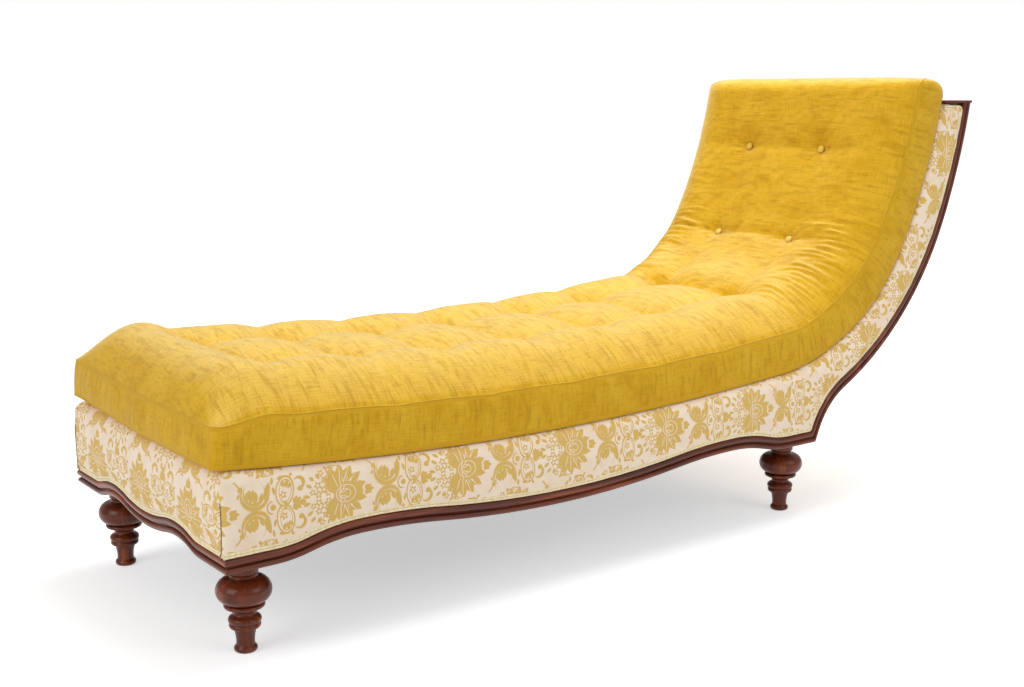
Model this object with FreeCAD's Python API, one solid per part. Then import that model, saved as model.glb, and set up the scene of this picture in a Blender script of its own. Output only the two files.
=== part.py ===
import FreeCAD, Part
import math
import os

V = FreeCAD.Vector

# Frame of the drawing: X runs from the foot end to the head end, the viewer's front side is -Y,
# Z is up from the floor. Places along X are counted from the foot end, and the whole couch is
# centred on its box when it is written. Lengths are millimetres and angles are degrees.

# Widths and the show wood
half_width = 345.7
seat_length = 1453.0
moulding_depth = 18.0
moulding_height = 28.0
moulding_bottom = 167.0
edge_inset = 2.0
cap_top = 930.0
cap_thickness = 6.0

# Serpentine lower edge of the long sides
side_flat = 95.0
side_hump_from_end = 265.0
side_hump_rise = 22.0
side_centre_rise = -7.0

# Serpentine lower edge of the foot end
foot_flat = 105.0
foot_hump_from_centre = 145.0
foot_hump_rise = 14.5
foot_centre_rise = -1.3

# Outer edge of the raking back, from the lower head corner up
back_heading = 67.3
back_straight = 27.0
back_pieces = [(127.1, -40.5), (498.4, 40.3), (304.9, 13.7)]

# Curve that the mattress lies on, from the foot end to the top of the back
deck_height = 341.6
deck_heading = -5.84
deck_bend_from_head = 97.6
deck_seat_turn = 11.03
deck_back_pieces = [(491.0, 56.83), (401.7, 19.33)]

# Frame boards
board = 28.0
knee_joint_from_head = 143.0
post_joint_past_bend = 284.6
rail_drop = 24.5
web_thickness = 2.0
stretcher_places = [480.0, 940.0]
stretcher_width = 60.0
stretcher_bottom = 205.0
head_rail_width = 62.0
head_rail_height = 52.0
knee_rail_past_bend = 204.6
knee_rail_width = 70.0
crest_rail_height = 70.0
back_rail_height = 50.0
block_length = 48.0
block_width = 60.0
block_height = 60.0
dowel_radius = 5.0
dowel_length = 60.0
screw_radius = 2.25
screw_length = 52.0

# Feet
foot_axis_from_foot_end = 65.6
head_axis_from_head_end = 38.7
foot_axis_inset = 71.0
tenon_radius = 12.0
tenon_length = 42.0

# Webbing and upholstery
web_width = 50.0
web_pitch = 78.0
long_webs = 4
outer_web_inset = 119.7
tack_margin = 8.0
hessian = 1.0
cloth = 1.2
side_stuffing = 11.8
roll_radius = 26.0
welt_radius = 2.3
welt_tape = 0.8
dust_cloth = 0.8

# Mattress
mattress_start = -8.0
mattress_end_gap = 2.1
mattress_inset = 17.7
seam_height = 92.0
end_seam_height = 72.0
crown = 158.0
back_crown = 148.0
seat_dip = 100.0
back_dip = 120.0
tuft_half_gauge = 117.0
level_tufts = [159.0, 356.0, 556.0, 759.0, 979.0, 1176.0]
knee_tuft_past_bend = 76.6
back_tufts_past_bend = [400.6, 683.6]
back_puff_past_bend = 136.6
core_margin = 26.0
core_bottom = 10.0
core_thickness = 55.0
button_radius = 9.0
button_height = 7.0
twine_radius = 1.2
washer_thickness = 3.0

# Clearances
cloth_gap = 0.2
stuffing_gap = 0.7
mattress_gap = 0.4
bore_gap = 0.15

rail_face = half_width - moulding_depth
rail_inside = rail_face - board
foot_axis_half_gauge = half_width - foot_axis_inset
head_axis_from_foot_end = seat_length - head_axis_from_head_end
outer_web = rail_inside - outer_web_inset
long_web_places = [outer_web * (2 * web / (long_webs - 1) - 1) for web in range(long_webs)]
knee_joint_x = seat_length - knee_joint_from_head
deck_bend = seat_length - deck_bend_from_head
deck_pieces = [(deck_bend, deck_seat_turn)] + deck_back_pieces
post_joint_s = deck_bend + post_joint_past_bend
knee_rail_s = deck_bend + knee_rail_past_bend
mattress_half_width = half_width - mattress_inset
mattress_length = sum(length for length, turn in deck_pieces) - mattress_end_gap - mattress_start
mattress_bend = deck_bend - mattress_start
seat_tufts = level_tufts + [mattress_bend + knee_tuft_past_bend]
back_tufts = [mattress_bend + past for past in back_tufts_past_bend]
cap_bottom = cap_top - cap_thickness
far = 3000.0
tiny = 1e-6


class Track:
    """A plane curve of tangent lines and arcs, given as (length, turn) pieces from its start."""

    def __init__(self, a, z, heading, pieces):
        self.pieces = []
        self.length = 0.0
        for length, turn in pieces:
            self.pieces.append((self.length, length, turn, a, z, heading))
            self.length += length
            end = self.point(self.length)
            a, z = end.x, end.z
            heading += turn

    def piece_at(self, s):
        found = self.pieces[0]
        for piece in self.pieces:
            if piece[0] <= s + tiny:
                found = piece
        return found

    def heading(self, s):
        start, length, turn, a, z, heading = self.piece_at(s)
        return heading + turn * (s - start) / length

    def point(self, s, n=0.0):
        """The point at length s along the curve, n to its left."""
        start, length, turn, a, z, heading = self.piece_at(s)
        here = s - start
        first = math.radians(heading)
        last = first + math.radians(turn) * here / length
        if turn == 0:
            a += here * math.cos(first)
            z += here * math.sin(first)
        else:
            radius = length / math.radians(turn)
            a += radius * (math.sin(last) - math.sin(first))
            z -= radius * (math.cos(last) - math.cos(first))
        return V(a - n * math.sin(last), 0, z + n * math.cos(last))

    def breaks(self, s0, s1):
        inner = [piece[0] for piece in self.pieces[1:] if s0 + tiny < piece[0] < s1 - tiny]
        cuts = [s0] + inner + [s1]
        return list(zip(cuts, cuts[1:]))

    def run(self, n, s0, s1):
        """Legs (start, via, end) of the curve offset by n; via is None on a straight leg."""
        legs = []
        for first, last in self.breaks(s0, s1):
            middle = (first + last) / 2
            via = self.point(middle, n) if self.piece_at(middle)[2] else None
            legs.append((self.point(first, n), via, self.point(last, n)))
        return legs

    def reach(self, n, axis, value, low, high):
        """Length along the curve where its offset by n rises past a given x or z."""
        for _ in range(60):
            middle = (low + high) / 2
            if getattr(self.point(middle, n), axis) < value:
                low = middle
            else:
                high = middle
        return low


def s_bend(run, rise, first_share):
    """Two equal and opposite arcs that climb by rise over run, level at both ends."""
    turn = 2 * math.degrees(math.atan(rise / run))
    radii = run / math.sin(math.radians(turn))
    length = radii * math.radians(turn)
    return [(length * first_share, turn), (length * (1 - first_share), -turn)]


def serpentine(half_length, flat, hump, hump_rise, centre_rise):
    """A level end, a hump and a dip at the centre, then the same mirrored."""
    half = [(flat, 0)] + s_bend(hump - flat, hump_rise, 0.4)
    half += s_bend(half_length - hump, centre_rise - hump_rise, 0.35)
    return half + half[::-1]


def mirrored_back(legs):
    return [(end, via, start) for start, via, end in reversed(legs)]


def edge_of(start, via, end):
    if via is None:
        return Part.LineSegment(start, end).toShape()
    return Part.Arc(start, via, end).toShape()


def closed_face(*runs):
    """A flat face round the given runs of legs, with straight lines across the gaps."""
    legs = [leg for run in runs for leg in run]
    edges = []
    for leg, following in zip(legs, legs[1:] + legs[:1]):
        edges.append(edge_of(*leg))
        if leg[2].distanceToPoint(following[0]) > 1e-4:
            edges.append(edge_of(leg[2], None, following[0]))
    return Part.Face(Part.Wire(edges))


def legs_through(points, place):
    """Legs of a closed outline; a point that starts with 'by' is passed on an arc."""
    legs = []
    start, via = points[0], None
    for point in points[1:] + points[:1]:
        if point[0] == "by":
            via = point[1:]
            continue
        legs.append((place(*start), place(*via) if via else None, place(*point)))
        start, via = point, None
    return legs


def join(solids):
    if len(solids) == 1:
        return solids[0]
    return solids[0].multiFuse(solids[1:]).removeSplitter()


def sweep(track, points, s0, s1):
    """A section of (outward, upward) points carried along a track, outward being -Y."""
    solids = []
    for first, last in track.breaks(s0, s1):
        heading = track.heading(first)
        face = closed_face(legs_through(points, lambda w, n: V(0, -w, n)))
        face.rotate(V(), V(0, 1, 0), -heading)
        face.translate(track.point(first))
        start, length, turn = track.piece_at((first + last) / 2)[:3]
        turned = turn * (last - first) / length
        if turn == 0:
            along = V(math.cos(math.radians(heading)), 0, math.sin(math.radians(heading)))
            solids.append(face.extrude(along * (last - first)))
        else:
            centre = track.point(first, length / math.radians(turn))
            axis = V(0, -1, 0) if turn > 0 else V(0, 1, 0)
            solids.append(face.revolve(centre, axis, abs(turned)))
    return join(solids)


def across(track, low, high, half, s0, s1):
    """A sheet or board that spans the couch, from low to high above a track."""
    return sweep(track, [(-half, low), (half, low), (half, high), (-half, high)], s0, s1)


def rectangle(low_w, high_w, low_n, high_n):
    return [(low_w, low_n), (high_w, low_n), (high_w, high_n), (low_w, high_n)]


def plate(face, outward, thickness):
    """A flat face in the side view, thickened outward from a distance outward of the rail face."""
    face.translate(V(0, -outward, 0))
    return face.extrude(V(0, -thickness, 0))


def box(x0, x1, y0, y1, z0, z1):
    return Part.makeBox(x1 - x0, y1 - y0, z1 - z0, V(x0, y0, z0))


def cylinder(radius, start, end):
    return Part.makeCylinder(radius, (end - start).Length, start, end - start)


def cut_all(shape, tools):
    return shape.cut(tools) if tools else shape


def below(shape, height):
    return shape.common(box(-far, far, -far, far, -far, height))


def mirrored(shape):
    return shape.mirror(V(), V(0, 1, 0))


# The three ruling curves
bottom = Track(0, moulding_bottom, 0,
               serpentine(seat_length / 2, side_flat, side_hump_from_end,
                          side_hump_rise, side_centre_rise))
back = Track(seat_length, moulding_bottom, back_heading, [(back_straight, 0)] + back_pieces)
deck = Track(0, deck_height, deck_heading, deck_pieces)
foot_edge = Track(-half_width, moulding_bottom, 0,
                  serpentine(half_width, foot_flat, half_width - foot_hump_from_centre,
                             foot_hump_rise, foot_centre_rise))
corner_share = math.tan(math.radians(back_heading / 2))
deck_top = deck.reach(0, "z", cap_bottom, 0, deck.length)


def to_side(shape):
    """From the rail-face frame to the front long side."""
    return shape.translated(V(0, -rail_face, 0))


def to_foot_end(shape):
    """From the rail-face frame to the foot end."""
    turned = shape.rotated(V(), V(0, 0, 1), -90)
    return turned.translated(V(moulding_depth, 0, 0))


def foot_mitre():
    """Everything on the foot-end side of the front corner's mitre."""
    corner = V(-far, -half_width - far, -far)
    points = [corner, V(far, -half_width + far, -far), V(-far, -half_width + far, -far)]
    return Part.Face(Part.makePolygon(points + points[:1])).extrude(V(0, 0, 2 * far))


def head_mitre():
    """Everything on the head side of the mitre at the lower head corner."""
    half = math.radians(back_heading / 2)
    along = V(-math.sin(half), 0, math.cos(half))
    onward = V(math.cos(half), 0, math.sin(half))
    corner = V(seat_length, -far, moulding_bottom)
    points = [corner - along * far, corner + along * far]
    points += [points[1] + onward * far, points[0] + onward * far]
    return Part.Face(Part.makePolygon(points + points[:1])).extrude(V(0, 2 * far, 0))


# Section of the two-bead moulding, as distance out from the rail face and height
moulding_points = [(0, 0), (10, 0), ("by", 16.8, 4.8), (12, 11), ("by", 10.6, 12), (12, 13),
                   ("by", moulding_depth, 20.5), (10, moulding_height), (0, moulding_height)]


def welt_points():
    """Two cords side by side with a flat back, lying on the cloth above the moulding."""
    out = side_stuffing + cloth + cloth_gap
    low = moulding_height + cloth_gap
    seam = out + welt_tape
    crest = seam + 0.96 * welt_radius
    return [(out, low), (seam, low), ("by", crest, low + welt_radius),
            (seam, low + 2 * welt_radius), ("by", crest, low + 3 * welt_radius),
            (seam, low + 4 * welt_radius), (out, low + 4 * welt_radius)]


def side_trim(points, top):
    """A trim section along the lower edge and up the back edge to top, mitred at the corner."""
    beyond = head_mitre()
    seat = to_side(sweep(bottom, points, 0, bottom.length + moulding_height)).cut(beyond)
    seat = seat.cut(foot_mitre())
    rise = to_side(sweep(back, points, -moulding_height, top)).common(beyond)
    return seat, rise


def foot_trim(points):
    """The same section along the foot end, mitred to both long sides."""
    shape = to_foot_end(sweep(foot_edge, points, 0, foot_edge.length))
    wedge = foot_mitre()
    return shape.common(wedge).common(mirrored(wedge))


def band_face(lower, upper, start_x, top):
    """The side-view face between the lower and back edges and the deck curve."""
    back_top = back.reach(lower, "z", top, back_straight, back.length + board)
    deck_start = deck.reach(upper, "x", start_x, -half_width, deck.length)
    deck_end = deck.reach(upper, "z", top, knee_joint_x, deck.length + board)
    return closed_face(bottom.run(lower, start_x, bottom.length - lower * corner_share),
                       back.run(lower, lower * corner_share, back_top),
                       mirrored_back(deck.run(upper, deck_start, deck_end)))


def dowel(middle, along):
    half = along * (dowel_length / 2)
    return (middle - half, middle + half)


def frame_dowels():
    """End points of the dowels that join the boards, front and rear."""
    middle_y = -(rail_face + rail_inside) / 2
    pins = []
    for height in (moulding_bottom + 58.0, moulding_bottom + 108.0):
        pins.append(dowel(V(knee_joint_x, middle_y, height), V(1, 0, 0)))
    heading = math.radians(deck.heading(post_joint_s))
    for depth in (48.0, 84.0):
        at = deck.point(post_joint_s, -depth) + V(0, middle_y, 0)
        pins.append(dowel(at, V(math.cos(heading), 0, math.sin(heading))))
    seats = [V(moulding_depth + board / 2, 0, moulding_bottom + lift) for lift in (40.0, 110.0)]
    seats += [V(x + stretcher_width / 2 + side, 0, stretcher_bottom + board / 2)
              for x in stretcher_places for side in (-16.0, 16.0)]
    seats += [V(head_axis_from_foot_end + 22.0, 0, moulding_bottom + 40.0)]
    for s, low in ((knee_rail_s - 18.0, 0), (knee_rail_s + 18.0, 0),
                   (crest_top - 18.0, 0), (crest_top - 52.0, 0)):
        seats.append(deck.point(s, -rail_drop - web_thickness - board / 2 - low))
    for s in (back_rail_top - 13.0, back_rail_top - 37.0):
        seats.append(back.point(s, edge_inset + board / 2))
    inward = dowel_length / 2 - board + 8.0
    for seat in seats:
        pins.append(dowel(seat + V(0, -rail_inside + inward, 0), V(0, 1, 0)))
    return pins


crest_top = deck.reach(-rail_drop, "z", cap_bottom - 8.0, knee_joint_x, deck.length)
back_rail_top = back.reach(edge_inset, "z", cap_bottom - 4.0, 0, back.length)
front_pins = frame_dowels()
front_dowels = [cylinder(dowel_radius, *pin) for pin in front_pins]
front_dowel_bores = [cylinder(dowel_radius + bore_gap, *pin) for pin in front_pins]
dowel_bores = front_dowel_bores + [mirrored(bore) for bore in front_dowel_bores]

foot_axes = {"foot_end_front_foot": V(foot_axis_from_foot_end, -foot_axis_half_gauge, 0),
             "foot_end_rear_foot": V(foot_axis_from_foot_end, foot_axis_half_gauge, 0),
             "head_end_front_foot": V(head_axis_from_foot_end, -foot_axis_half_gauge, 0),
             "head_end_rear_foot": V(head_axis_from_foot_end, foot_axis_half_gauge, 0)}
block_bottom = moulding_bottom + edge_inset
foot_collar_radius = 26.0
nodes = {}


def cheek_boards():
    """Each side's shaped boards: the seat rail, the knee and the back post."""
    face = band_face(edge_inset, -rail_drop, moulding_depth, cap_bottom)
    cheek = to_side(plate(face, -board, board))
    cheek = cut_all(cheek, front_dowel_bores + screw_bores())
    seat_part = cheek.common(box(-far, knee_joint_x, -far, far, -far, far))
    rest = cheek.cut(seat_part)
    joint = box(0, far, -far, far, -far, far)
    joint.rotate(V(), V(0, 1, 0), -deck.heading(post_joint_s))
    joint.translate(deck.point(post_joint_s))
    return seat_part, rest.cut(joint), rest.common(joint)


def corner_blocks():
    """Front foot-end block, bored for the foot's tenon and the screws."""
    x0 = moulding_depth + board
    block = box(x0, x0 + block_length, -rail_inside, -rail_inside + block_width,
                block_bottom, block_bottom + block_height)
    axis = foot_axes["foot_end_front_foot"]
    bore = cylinder(tenon_radius + bore_gap, axis, axis + V(0, 0, far))
    return cut_all(block, [bore] + screw_bores())


def screw_lines():
    """Start and end of the front block's four screws, into the foot rail and the side rail."""
    x0 = moulding_depth + board
    lines = []
    for height in (14.0, block_height - 12.0):
        z = block_bottom + height
        along = x0 + block_length - 10.0
        start = V(along, -rail_inside + screw_length - 18.0, z + 4.0)
        lines.append((start, start - V(0, screw_length, 0)))
        start = V(x0 + screw_length - 18.0, -rail_inside + block_width - 10.0, z - 4.0)
        lines.append((start, start - V(screw_length, 0, 0)))
    return lines


def screw_bores():
    bores = []
    for start, end in screw_lines():
        outward = (start - end).normalize()
        bores.append(cylinder(screw_radius + bore_gap, end, start))
        bores.append(cylinder(2 * screw_radius + bore_gap, start - outward * 3.0,
                              start + outward * block_width))
    return bores


def wood_screws():
    screws = []
    for start, end in screw_lines():
        outward = (start - end).normalize()
        shank = cylinder(screw_radius, end, start - outward * 3.0)
        head = cylinder(2 * screw_radius, start - outward * 3.0, start)
        screws.append(shank.fuse(head))
    return screws


def cross_rails():
    """Boards between the cheeks, from the foot end to the top of the back."""
    under = -rail_drop - web_thickness
    top = deck.point(deck.reach(under, "x", moulding_depth + board, 0, deck.length), under).z
    low = foot_edge.run(edge_inset, half_width - rail_inside, half_width + rail_inside)
    high = [(V(rail_inside, 0, top), None, V(-rail_inside, 0, top))]
    screws = screw_bores()
    screws += [mirrored(bore) for bore in screws]
    foot_rail = cut_all(to_foot_end(plate(closed_face(low, high), -board, board)), screws)
    rails = {"foot_rail": foot_rail}
    for number, x in enumerate(stretcher_places, 1):
        rails["seat_stretcher_%d" % number] = box(x, x + stretcher_width, -rail_inside, rail_inside,
                                                  stretcher_bottom, stretcher_bottom + board)
    outer = back.run(edge_inset, edge_inset * corner_share,
                     back.reach(edge_inset, "z", block_bottom + head_rail_height, 0, back.length))
    inner_x = outer[0][0].x - head_rail_width
    inner = [(V(inner_x, 0, block_bottom + head_rail_height), None, V(inner_x, 0, block_bottom))]
    head_rail = closed_face(outer, inner).extrude(V(0, 2 * rail_inside, 0))
    head_rail.translate(V(0, -rail_inside, 0))
    tenons = [cylinder(tenon_radius + bore_gap, axis, axis + V(0, 0, far))
              for name, axis in foot_axes.items() if name.startswith("head")]
    rails["head_rail"] = cut_all(head_rail, tenons)
    rails["knee_rail"] = across(deck, under - board, under, rail_inside,
                                knee_rail_s - knee_rail_width / 2, knee_rail_s + knee_rail_width / 2)
    rails["crest_rail"] = across(deck, under - board, under, rail_inside,
                                 crest_top - crest_rail_height, crest_top)
    back_rail = across(back, edge_inset, edge_inset + board, rail_inside,
                       back_rail_top - back_rail_height, back_rail_top)
    rails["outside_back_rail"] = below(back_rail, cap_bottom)
    return {name: cut_all(shape, dowel_bores) for name, shape in rails.items()}


def crest_cap():
    """The show-wood board across the top of the back."""
    corners = [deck.point(deck.reach(-1.5, "z", z, knee_joint_x, deck.length), -1.5)
               for z in (cap_bottom, cap_top)]
    outer = [back.point(back.reach(0, "z", z, 0, back.length + board)) for z in (cap_top, cap_bottom)]
    points = corners + outer
    face = Part.Face(Part.makePolygon(points + points[:1]))
    face.translate(V(0, -half_width, 0))
    return face.extrude(V(0, 2 * half_width, 0))


def turned_foot():
    """One turned foot with its round tenon, standing on the floor at the origin."""
    top = block_bottom
    points = [(0, 0), (16.5, 0), ("by", 20.4, 5.0), (18.6, 10.0), (16.2, 13.0),
              ("by", 16.6, 27.0), (20.3, 42.0), (25.4, 43.5), ("by", 27.6, 48.0), (25.8, 52.0),
              ("by", 28.9, 58.0), (25.0, 64.0), (20.4, 67.0), ("by", 19.1, 71.0), (21.0, 75.0),
              (32.6, 80.0), ("by", 35.7, 84.0), (32.6, 88.0), (27.0, 88.6),
              ("by", 48.5, 111.0), (27.0, 133.4), (24.0, 134.5), ("by", 22.5, 138.0), (24.0, 141.5),
              (foot_collar_radius, 143.0), (foot_collar_radius, top),
              (tenon_radius, top), (tenon_radius, top + tenon_length), (0, top + tenon_length)]
    face = closed_face(legs_through(points, lambda r, z: V(r, 0, z)))
    return face.revolve(V(), V(0, 0, 1), 360)


def webbing():
    """Jute strips: the long ones under the cross ones, tacked to the tops of the boards."""
    under = -rail_drop - web_thickness
    ends = (moulding_depth + 6.0, crest_top - 6.0)
    long_strips = [sweep(deck, rectangle(y - web_width / 2, y + web_width / 2, under, -rail_drop), *ends)
                   for y in long_web_places]
    half = rail_face - tack_margin
    strips = []
    s = moulding_depth + board
    while s + web_width < crest_top:
        strips.append((s, across(deck, -rail_drop, -rail_drop + web_thickness, half, s, s + web_width)))
        s += web_pitch
    seat = [strip for s, strip in strips if s < post_joint_s - web_pitch]
    rise = [strip for s, strip in strips if s >= post_joint_s - web_pitch]
    return long_strips, seat, rise


def deck_layers():
    """Hessian, flat stuffing and platform cloth under the mattress, between the edge rolls."""
    under = -rail_drop + web_thickness
    start = deck.reach(under, "x", moulding_depth + board + cloth_gap, 0, deck.length)
    top = -mattress_gap
    sheet = across(deck, under, under + hessian, rail_face - tack_margin, start, crest_top)
    half = rail_inside - cloth_gap
    stuffing = across(deck, under + hessian, top - cloth - cloth_gap, half, start, crest_top)
    cover = across(deck, top - cloth, top, half, start, deck.length)
    return sheet, stuffing, below(cover, cap_bottom - cloth_gap)


def roll_points(radius, floor, tilt):
    """Closed section of the rounded top edge: from the outside over the top to the deck."""
    centre_w = side_stuffing + cloth - roll_radius
    arc = []
    for angle in (0, (90 + tilt) / 2, 90 + tilt):
        turn = math.radians(angle)
        arc.append((centre_w + radius * math.cos(turn), radius * math.sin(turn)))
    inner_end = (-board, arc[2][1] - (arc[2][0] + board) * math.tan(math.radians(tilt)))
    return [arc[0], ("by",) + arc[1], arc[2], inner_end] + floor(inner_end, centre_w, tilt)


def cloth_floor(inner_end, centre_w, tilt):
    """Inside of the cloth, one thickness under its outside."""
    inside = roll_radius - cloth
    middle = math.radians((90 + tilt) / 2)
    last = math.radians(90 + tilt)
    return [(-board, inner_end[1] - cloth),
            (centre_w + inside * math.cos(last), inside * math.sin(last)),
            ("by", centre_w + inside * math.cos(middle), inside * math.sin(middle)),
            (centre_w + inside, 0)]


def stuffing_floor(inner_end, centre_w, tilt):
    """Underside of the edge roll, on the hessian over the board and down its outer face."""
    ledge = roll_radius + mattress_gap - rail_drop + web_thickness + hessian
    return [(-board, ledge), (0, ledge), (0, 0)]


def side_upholstery(radius, thickness, outward, floor):
    """One long side's flat band and rounded edge, for the stuffing or the cloth."""
    roll_centre = -mattress_gap - roll_radius
    start_x = 0.0
    face = band_face(moulding_height + 1.0, roll_centre, start_x, cap_bottom - cloth_gap)
    band = plate(face, outward, thickness)
    raised = [point[:-1] + (point[-1] + roll_centre,) for point in roll_points(radius, floor, 0)]
    roll = sweep(deck, raised, start_x - board, deck.length + board)
    roll = below(roll, cap_bottom - cloth_gap)
    whole = to_side(join([band, roll]))
    return whole.cut(foot_mitre())


def foot_upholstery(radius, thickness, outward, floor):
    """The foot end's flat panel and rounded edge, mitred to both long sides."""
    tilt = -deck_heading
    roll_x = moulding_depth - (side_stuffing + cloth - roll_radius)
    roll_z = deck.point(roll_x / math.cos(math.radians(tilt)), -mattress_gap - roll_radius).z
    low = foot_edge.run(moulding_height + 1.0, 0, foot_edge.length)
    high = [(V(half_width, 0, roll_z), None, V(-half_width, 0, roll_z))]
    band = plate(closed_face(low, high), outward, thickness)
    face = closed_face(legs_through(roll_points(radius, floor, tilt), lambda w, n: V(0, -w, n)))
    face.translate(V(-half_width, 0, roll_z))
    roll = face.extrude(V(2 * half_width, 0, 0))
    wedge = foot_mitre()
    return to_foot_end(join([band, roll])).common(wedge).common(mirrored(wedge))


def dust_cover():
    """Cambric under the seat, with a hole round each foot."""
    half = rail_face - tack_margin
    low = edge_inset - cloth_gap - dust_cloth
    sheet = across(bottom, low, low + dust_cloth, half, moulding_depth + board + 0.5,
                   seat_length - head_rail_width / 2 + board)
    holes = [cylinder(foot_collar_radius + 1.0, axis, axis + V(0, 0, far)) for axis in foot_axes.values()]
    return cut_all(sheet, holes)


def outside_back():
    """Damask over the outside of the back, between the mouldings."""
    low = edge_inset - cloth_gap - cloth
    sheet = across(back, low, low + cloth, rail_face - 3.0, 3.0, back.length)
    return below(sheet, cap_bottom - cloth_gap)


def smooth(share):
    share = min(max(share, 0.0), 1.0)
    return share * share * (3 - 2 * share)


def mattress_section(s):
    """Cross-section of the mattress at length s from its foot end."""
    tufts = seat_tufts + back_tufts
    nearest = min(abs(s - tuft) for tuft in tufts)
    from_foot = s
    from_top = mattress_length - s
    end_rise = min(smooth(from_foot / 110.0), smooth(from_top / 110.0))
    puff = smooth((nearest - 10.0) / 80.0)
    upper = smooth((s - mattress_bend - back_puff_past_bend) / 200.0)
    dip = seat_dip + (back_dip - seat_dip) * upper
    peak = crown + (back_crown - crown) * upper
    seam = end_seam_height + (seam_height + 4.0 * upper - end_seam_height) * end_rise
    low = max(0.0, 24.0 * (1 - from_top / 36.0)) ** 2 / 24.0
    flat = seam + 4.0
    high = flat + 2.0 + (peak - 12.0 * (1 - puff) - flat) * end_rise
    button = flat + (dip + (peak - 8.0 - dip) * puff - flat) * end_rise
    edge = mattress_half_width - 3.0 * math.sin(math.pi * s / mattress_length) + 6.0 * upper
    inner, outer = tuft_half_gauge - 11.0, tuft_half_gauge + 11.0
    shoulder = button + (high - button) * 0.6 + (seam - button) * 0.05 + 5.0 * end_rise
    half_points = [(edge, seam), ("by", (edge + outer) / 2 + 12.0, shoulder), (outer, button)]
    points = [(-edge + 5.0, low), (edge - 5.0, low), ("by", edge + 1.0, (low + seam) / 2)]
    points += half_points + [(inner, button), ("by", 0.0, high), (-inner, button), (-outer, button)]
    points += [("by", -(edge + outer) / 2 - 12.0, shoulder), (-edge, seam)]
    points += [("by", -edge - 1.0, (low + seam) / 2)]
    at = mattress_start + s
    heading = deck.heading(at)
    wire = Part.Wire([edge_of(*leg) for leg in legs_through(points, lambda w, n: V(0, -w, n))])
    wire.rotate(V(), V(0, 1, 0), -heading)
    wire.translate(deck.point(at))
    return wire


def mattress_stations():
    """Places of the sections: closest at the ends and on both sides of each row of tufts."""
    places = [0, 6.0, 18.0, 40.0, 75.0]
    tufts = seat_tufts + back_tufts
    for tuft, following in zip(tufts, tufts[1:] + [mattress_length - 30.0]):
        if tuft == seat_tufts[0]:
            places += [tuft - 45.0]
        gap = following - tuft
        places += [tuft - 24.0, tuft - 10.0, tuft + 10.0, tuft + 24.0, tuft + 45.0]
        steps = max(2, round((gap - 90.0) / 50.0))
        places += [tuft + 45.0 + (gap - 90.0) * step / steps for step in range(1, steps + 1)]
    return places[:-1] + [mattress_length - back_off for back_off in (75.0, 50.0, 36.0, 24.0, 12.0, 4.0, 0)]


def tuft_places():
    """Where each button sits: its place along the mattress and its height over the deck."""
    places = [(s, seat_dip) for s in seat_tufts]
    return places + [(s, back_dip) for s in back_tufts]


def tuft_tool(s, y, start, end, radius):
    """A cylinder square to the deck at one tuft, between two heights."""
    at = mattress_start + s
    foot = deck.point(at, start) + V(0, y, 0)
    top = deck.point(at, end) + V(0, y, 0)
    return cylinder(radius, foot, top)


def domed_button(s, y, level):
    """A covered button: a low drum under a domed top."""
    at = mattress_start + s
    rim = button_height * 0.4
    dome = button_height - rim
    sphere = (button_radius ** 2 + dome ** 2) / (2 * dome)
    half_out = button_radius / 2
    half_up = button_height - sphere + math.sqrt(sphere ** 2 - half_out ** 2)
    points = [(0, 0), (button_radius - 0.8, 0), (button_radius, 0.8), (button_radius, rim),
              ("by", half_out, half_up), (0, button_height)]
    face = closed_face(legs_through(points, lambda r, z: V(r, 0, z)))
    button = face.revolve(V(), V(0, 0, 1), 360)
    button.rotate(V(), V(0, 1, 0), -deck.heading(at))
    button.translate(deck.point(at, level) + V(0, y, 0))
    return button


def mattress():
    """Tufted cover, its core, and the buttons, twines and washers that draw it in."""
    cover = Part.makeLoft([mattress_section(s) for s in mattress_stations()], True, True)
    core_half = mattress_half_width - core_margin
    core_ends = (mattress_start + core_margin, mattress_start + mattress_length - 2 * core_margin)
    cavity = across(deck, core_bottom, core_bottom + core_thickness, core_half, *core_ends)
    core = across(deck, core_bottom + cloth_gap, core_bottom + core_thickness - cloth_gap,
                  core_half - cloth_gap, core_ends[0] + cloth_gap, core_ends[1] - cloth_gap)
    bores, buttons, twines, washers = [], [], [], []
    washer_top = washer_thickness + 0.5
    for s, level in tuft_places():
        for y in (-tuft_half_gauge, tuft_half_gauge):
            bores.append(tuft_tool(s, y, -1.0, level + 40.0, twine_radius + bore_gap))
            bores.append(tuft_tool(s, y, -1.0, washer_top + cloth_gap, button_radius + bore_gap))
            twines.append(tuft_tool(s, y, washer_top, level + cloth_gap, twine_radius))
            washers.append(tuft_tool(s, y, 0.5, washer_top, button_radius))
            buttons.append((s, domed_button(s, y, level + cloth_gap)))
    nodes["mattress_cover"] = cut_all(cover, [cavity] + bores)
    nodes["mattress_core"] = cut_all(core, bores)
    nodes["tuft_twines"] = Part.makeCompound(twines)
    nodes["underside_washers"] = Part.makeCompound(washers)
    nodes["seat_buttons"] = Part.makeCompound([b for s, b in buttons if s <= seat_tufts[-1]])
    nodes["back_buttons"] = Part.makeCompound([b for s, b in buttons if s > seat_tufts[-1]])


def both_sides(name, shape):
    """The same piece on the front and, mirrored, on the rear."""
    nodes["front_" + name] = shape
    nodes["rear_" + name] = mirrored(shape)


for name, shape in zip(("side_rail", "knee", "back_post"), cheek_boards()):
    both_sides(name, shape)
nodes.update(cross_rails())
both_sides("corner_block", corner_blocks())
nodes["frame_dowels"] = Part.makeCompound(front_dowels + [mirrored(pin) for pin in front_dowels])
front_screws = wood_screws()
nodes["block_screws"] = Part.makeCompound(front_screws + [mirrored(screw) for screw in front_screws])
for name, axis in foot_axes.items():
    nodes[name] = turned_foot().translated(axis)

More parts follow.
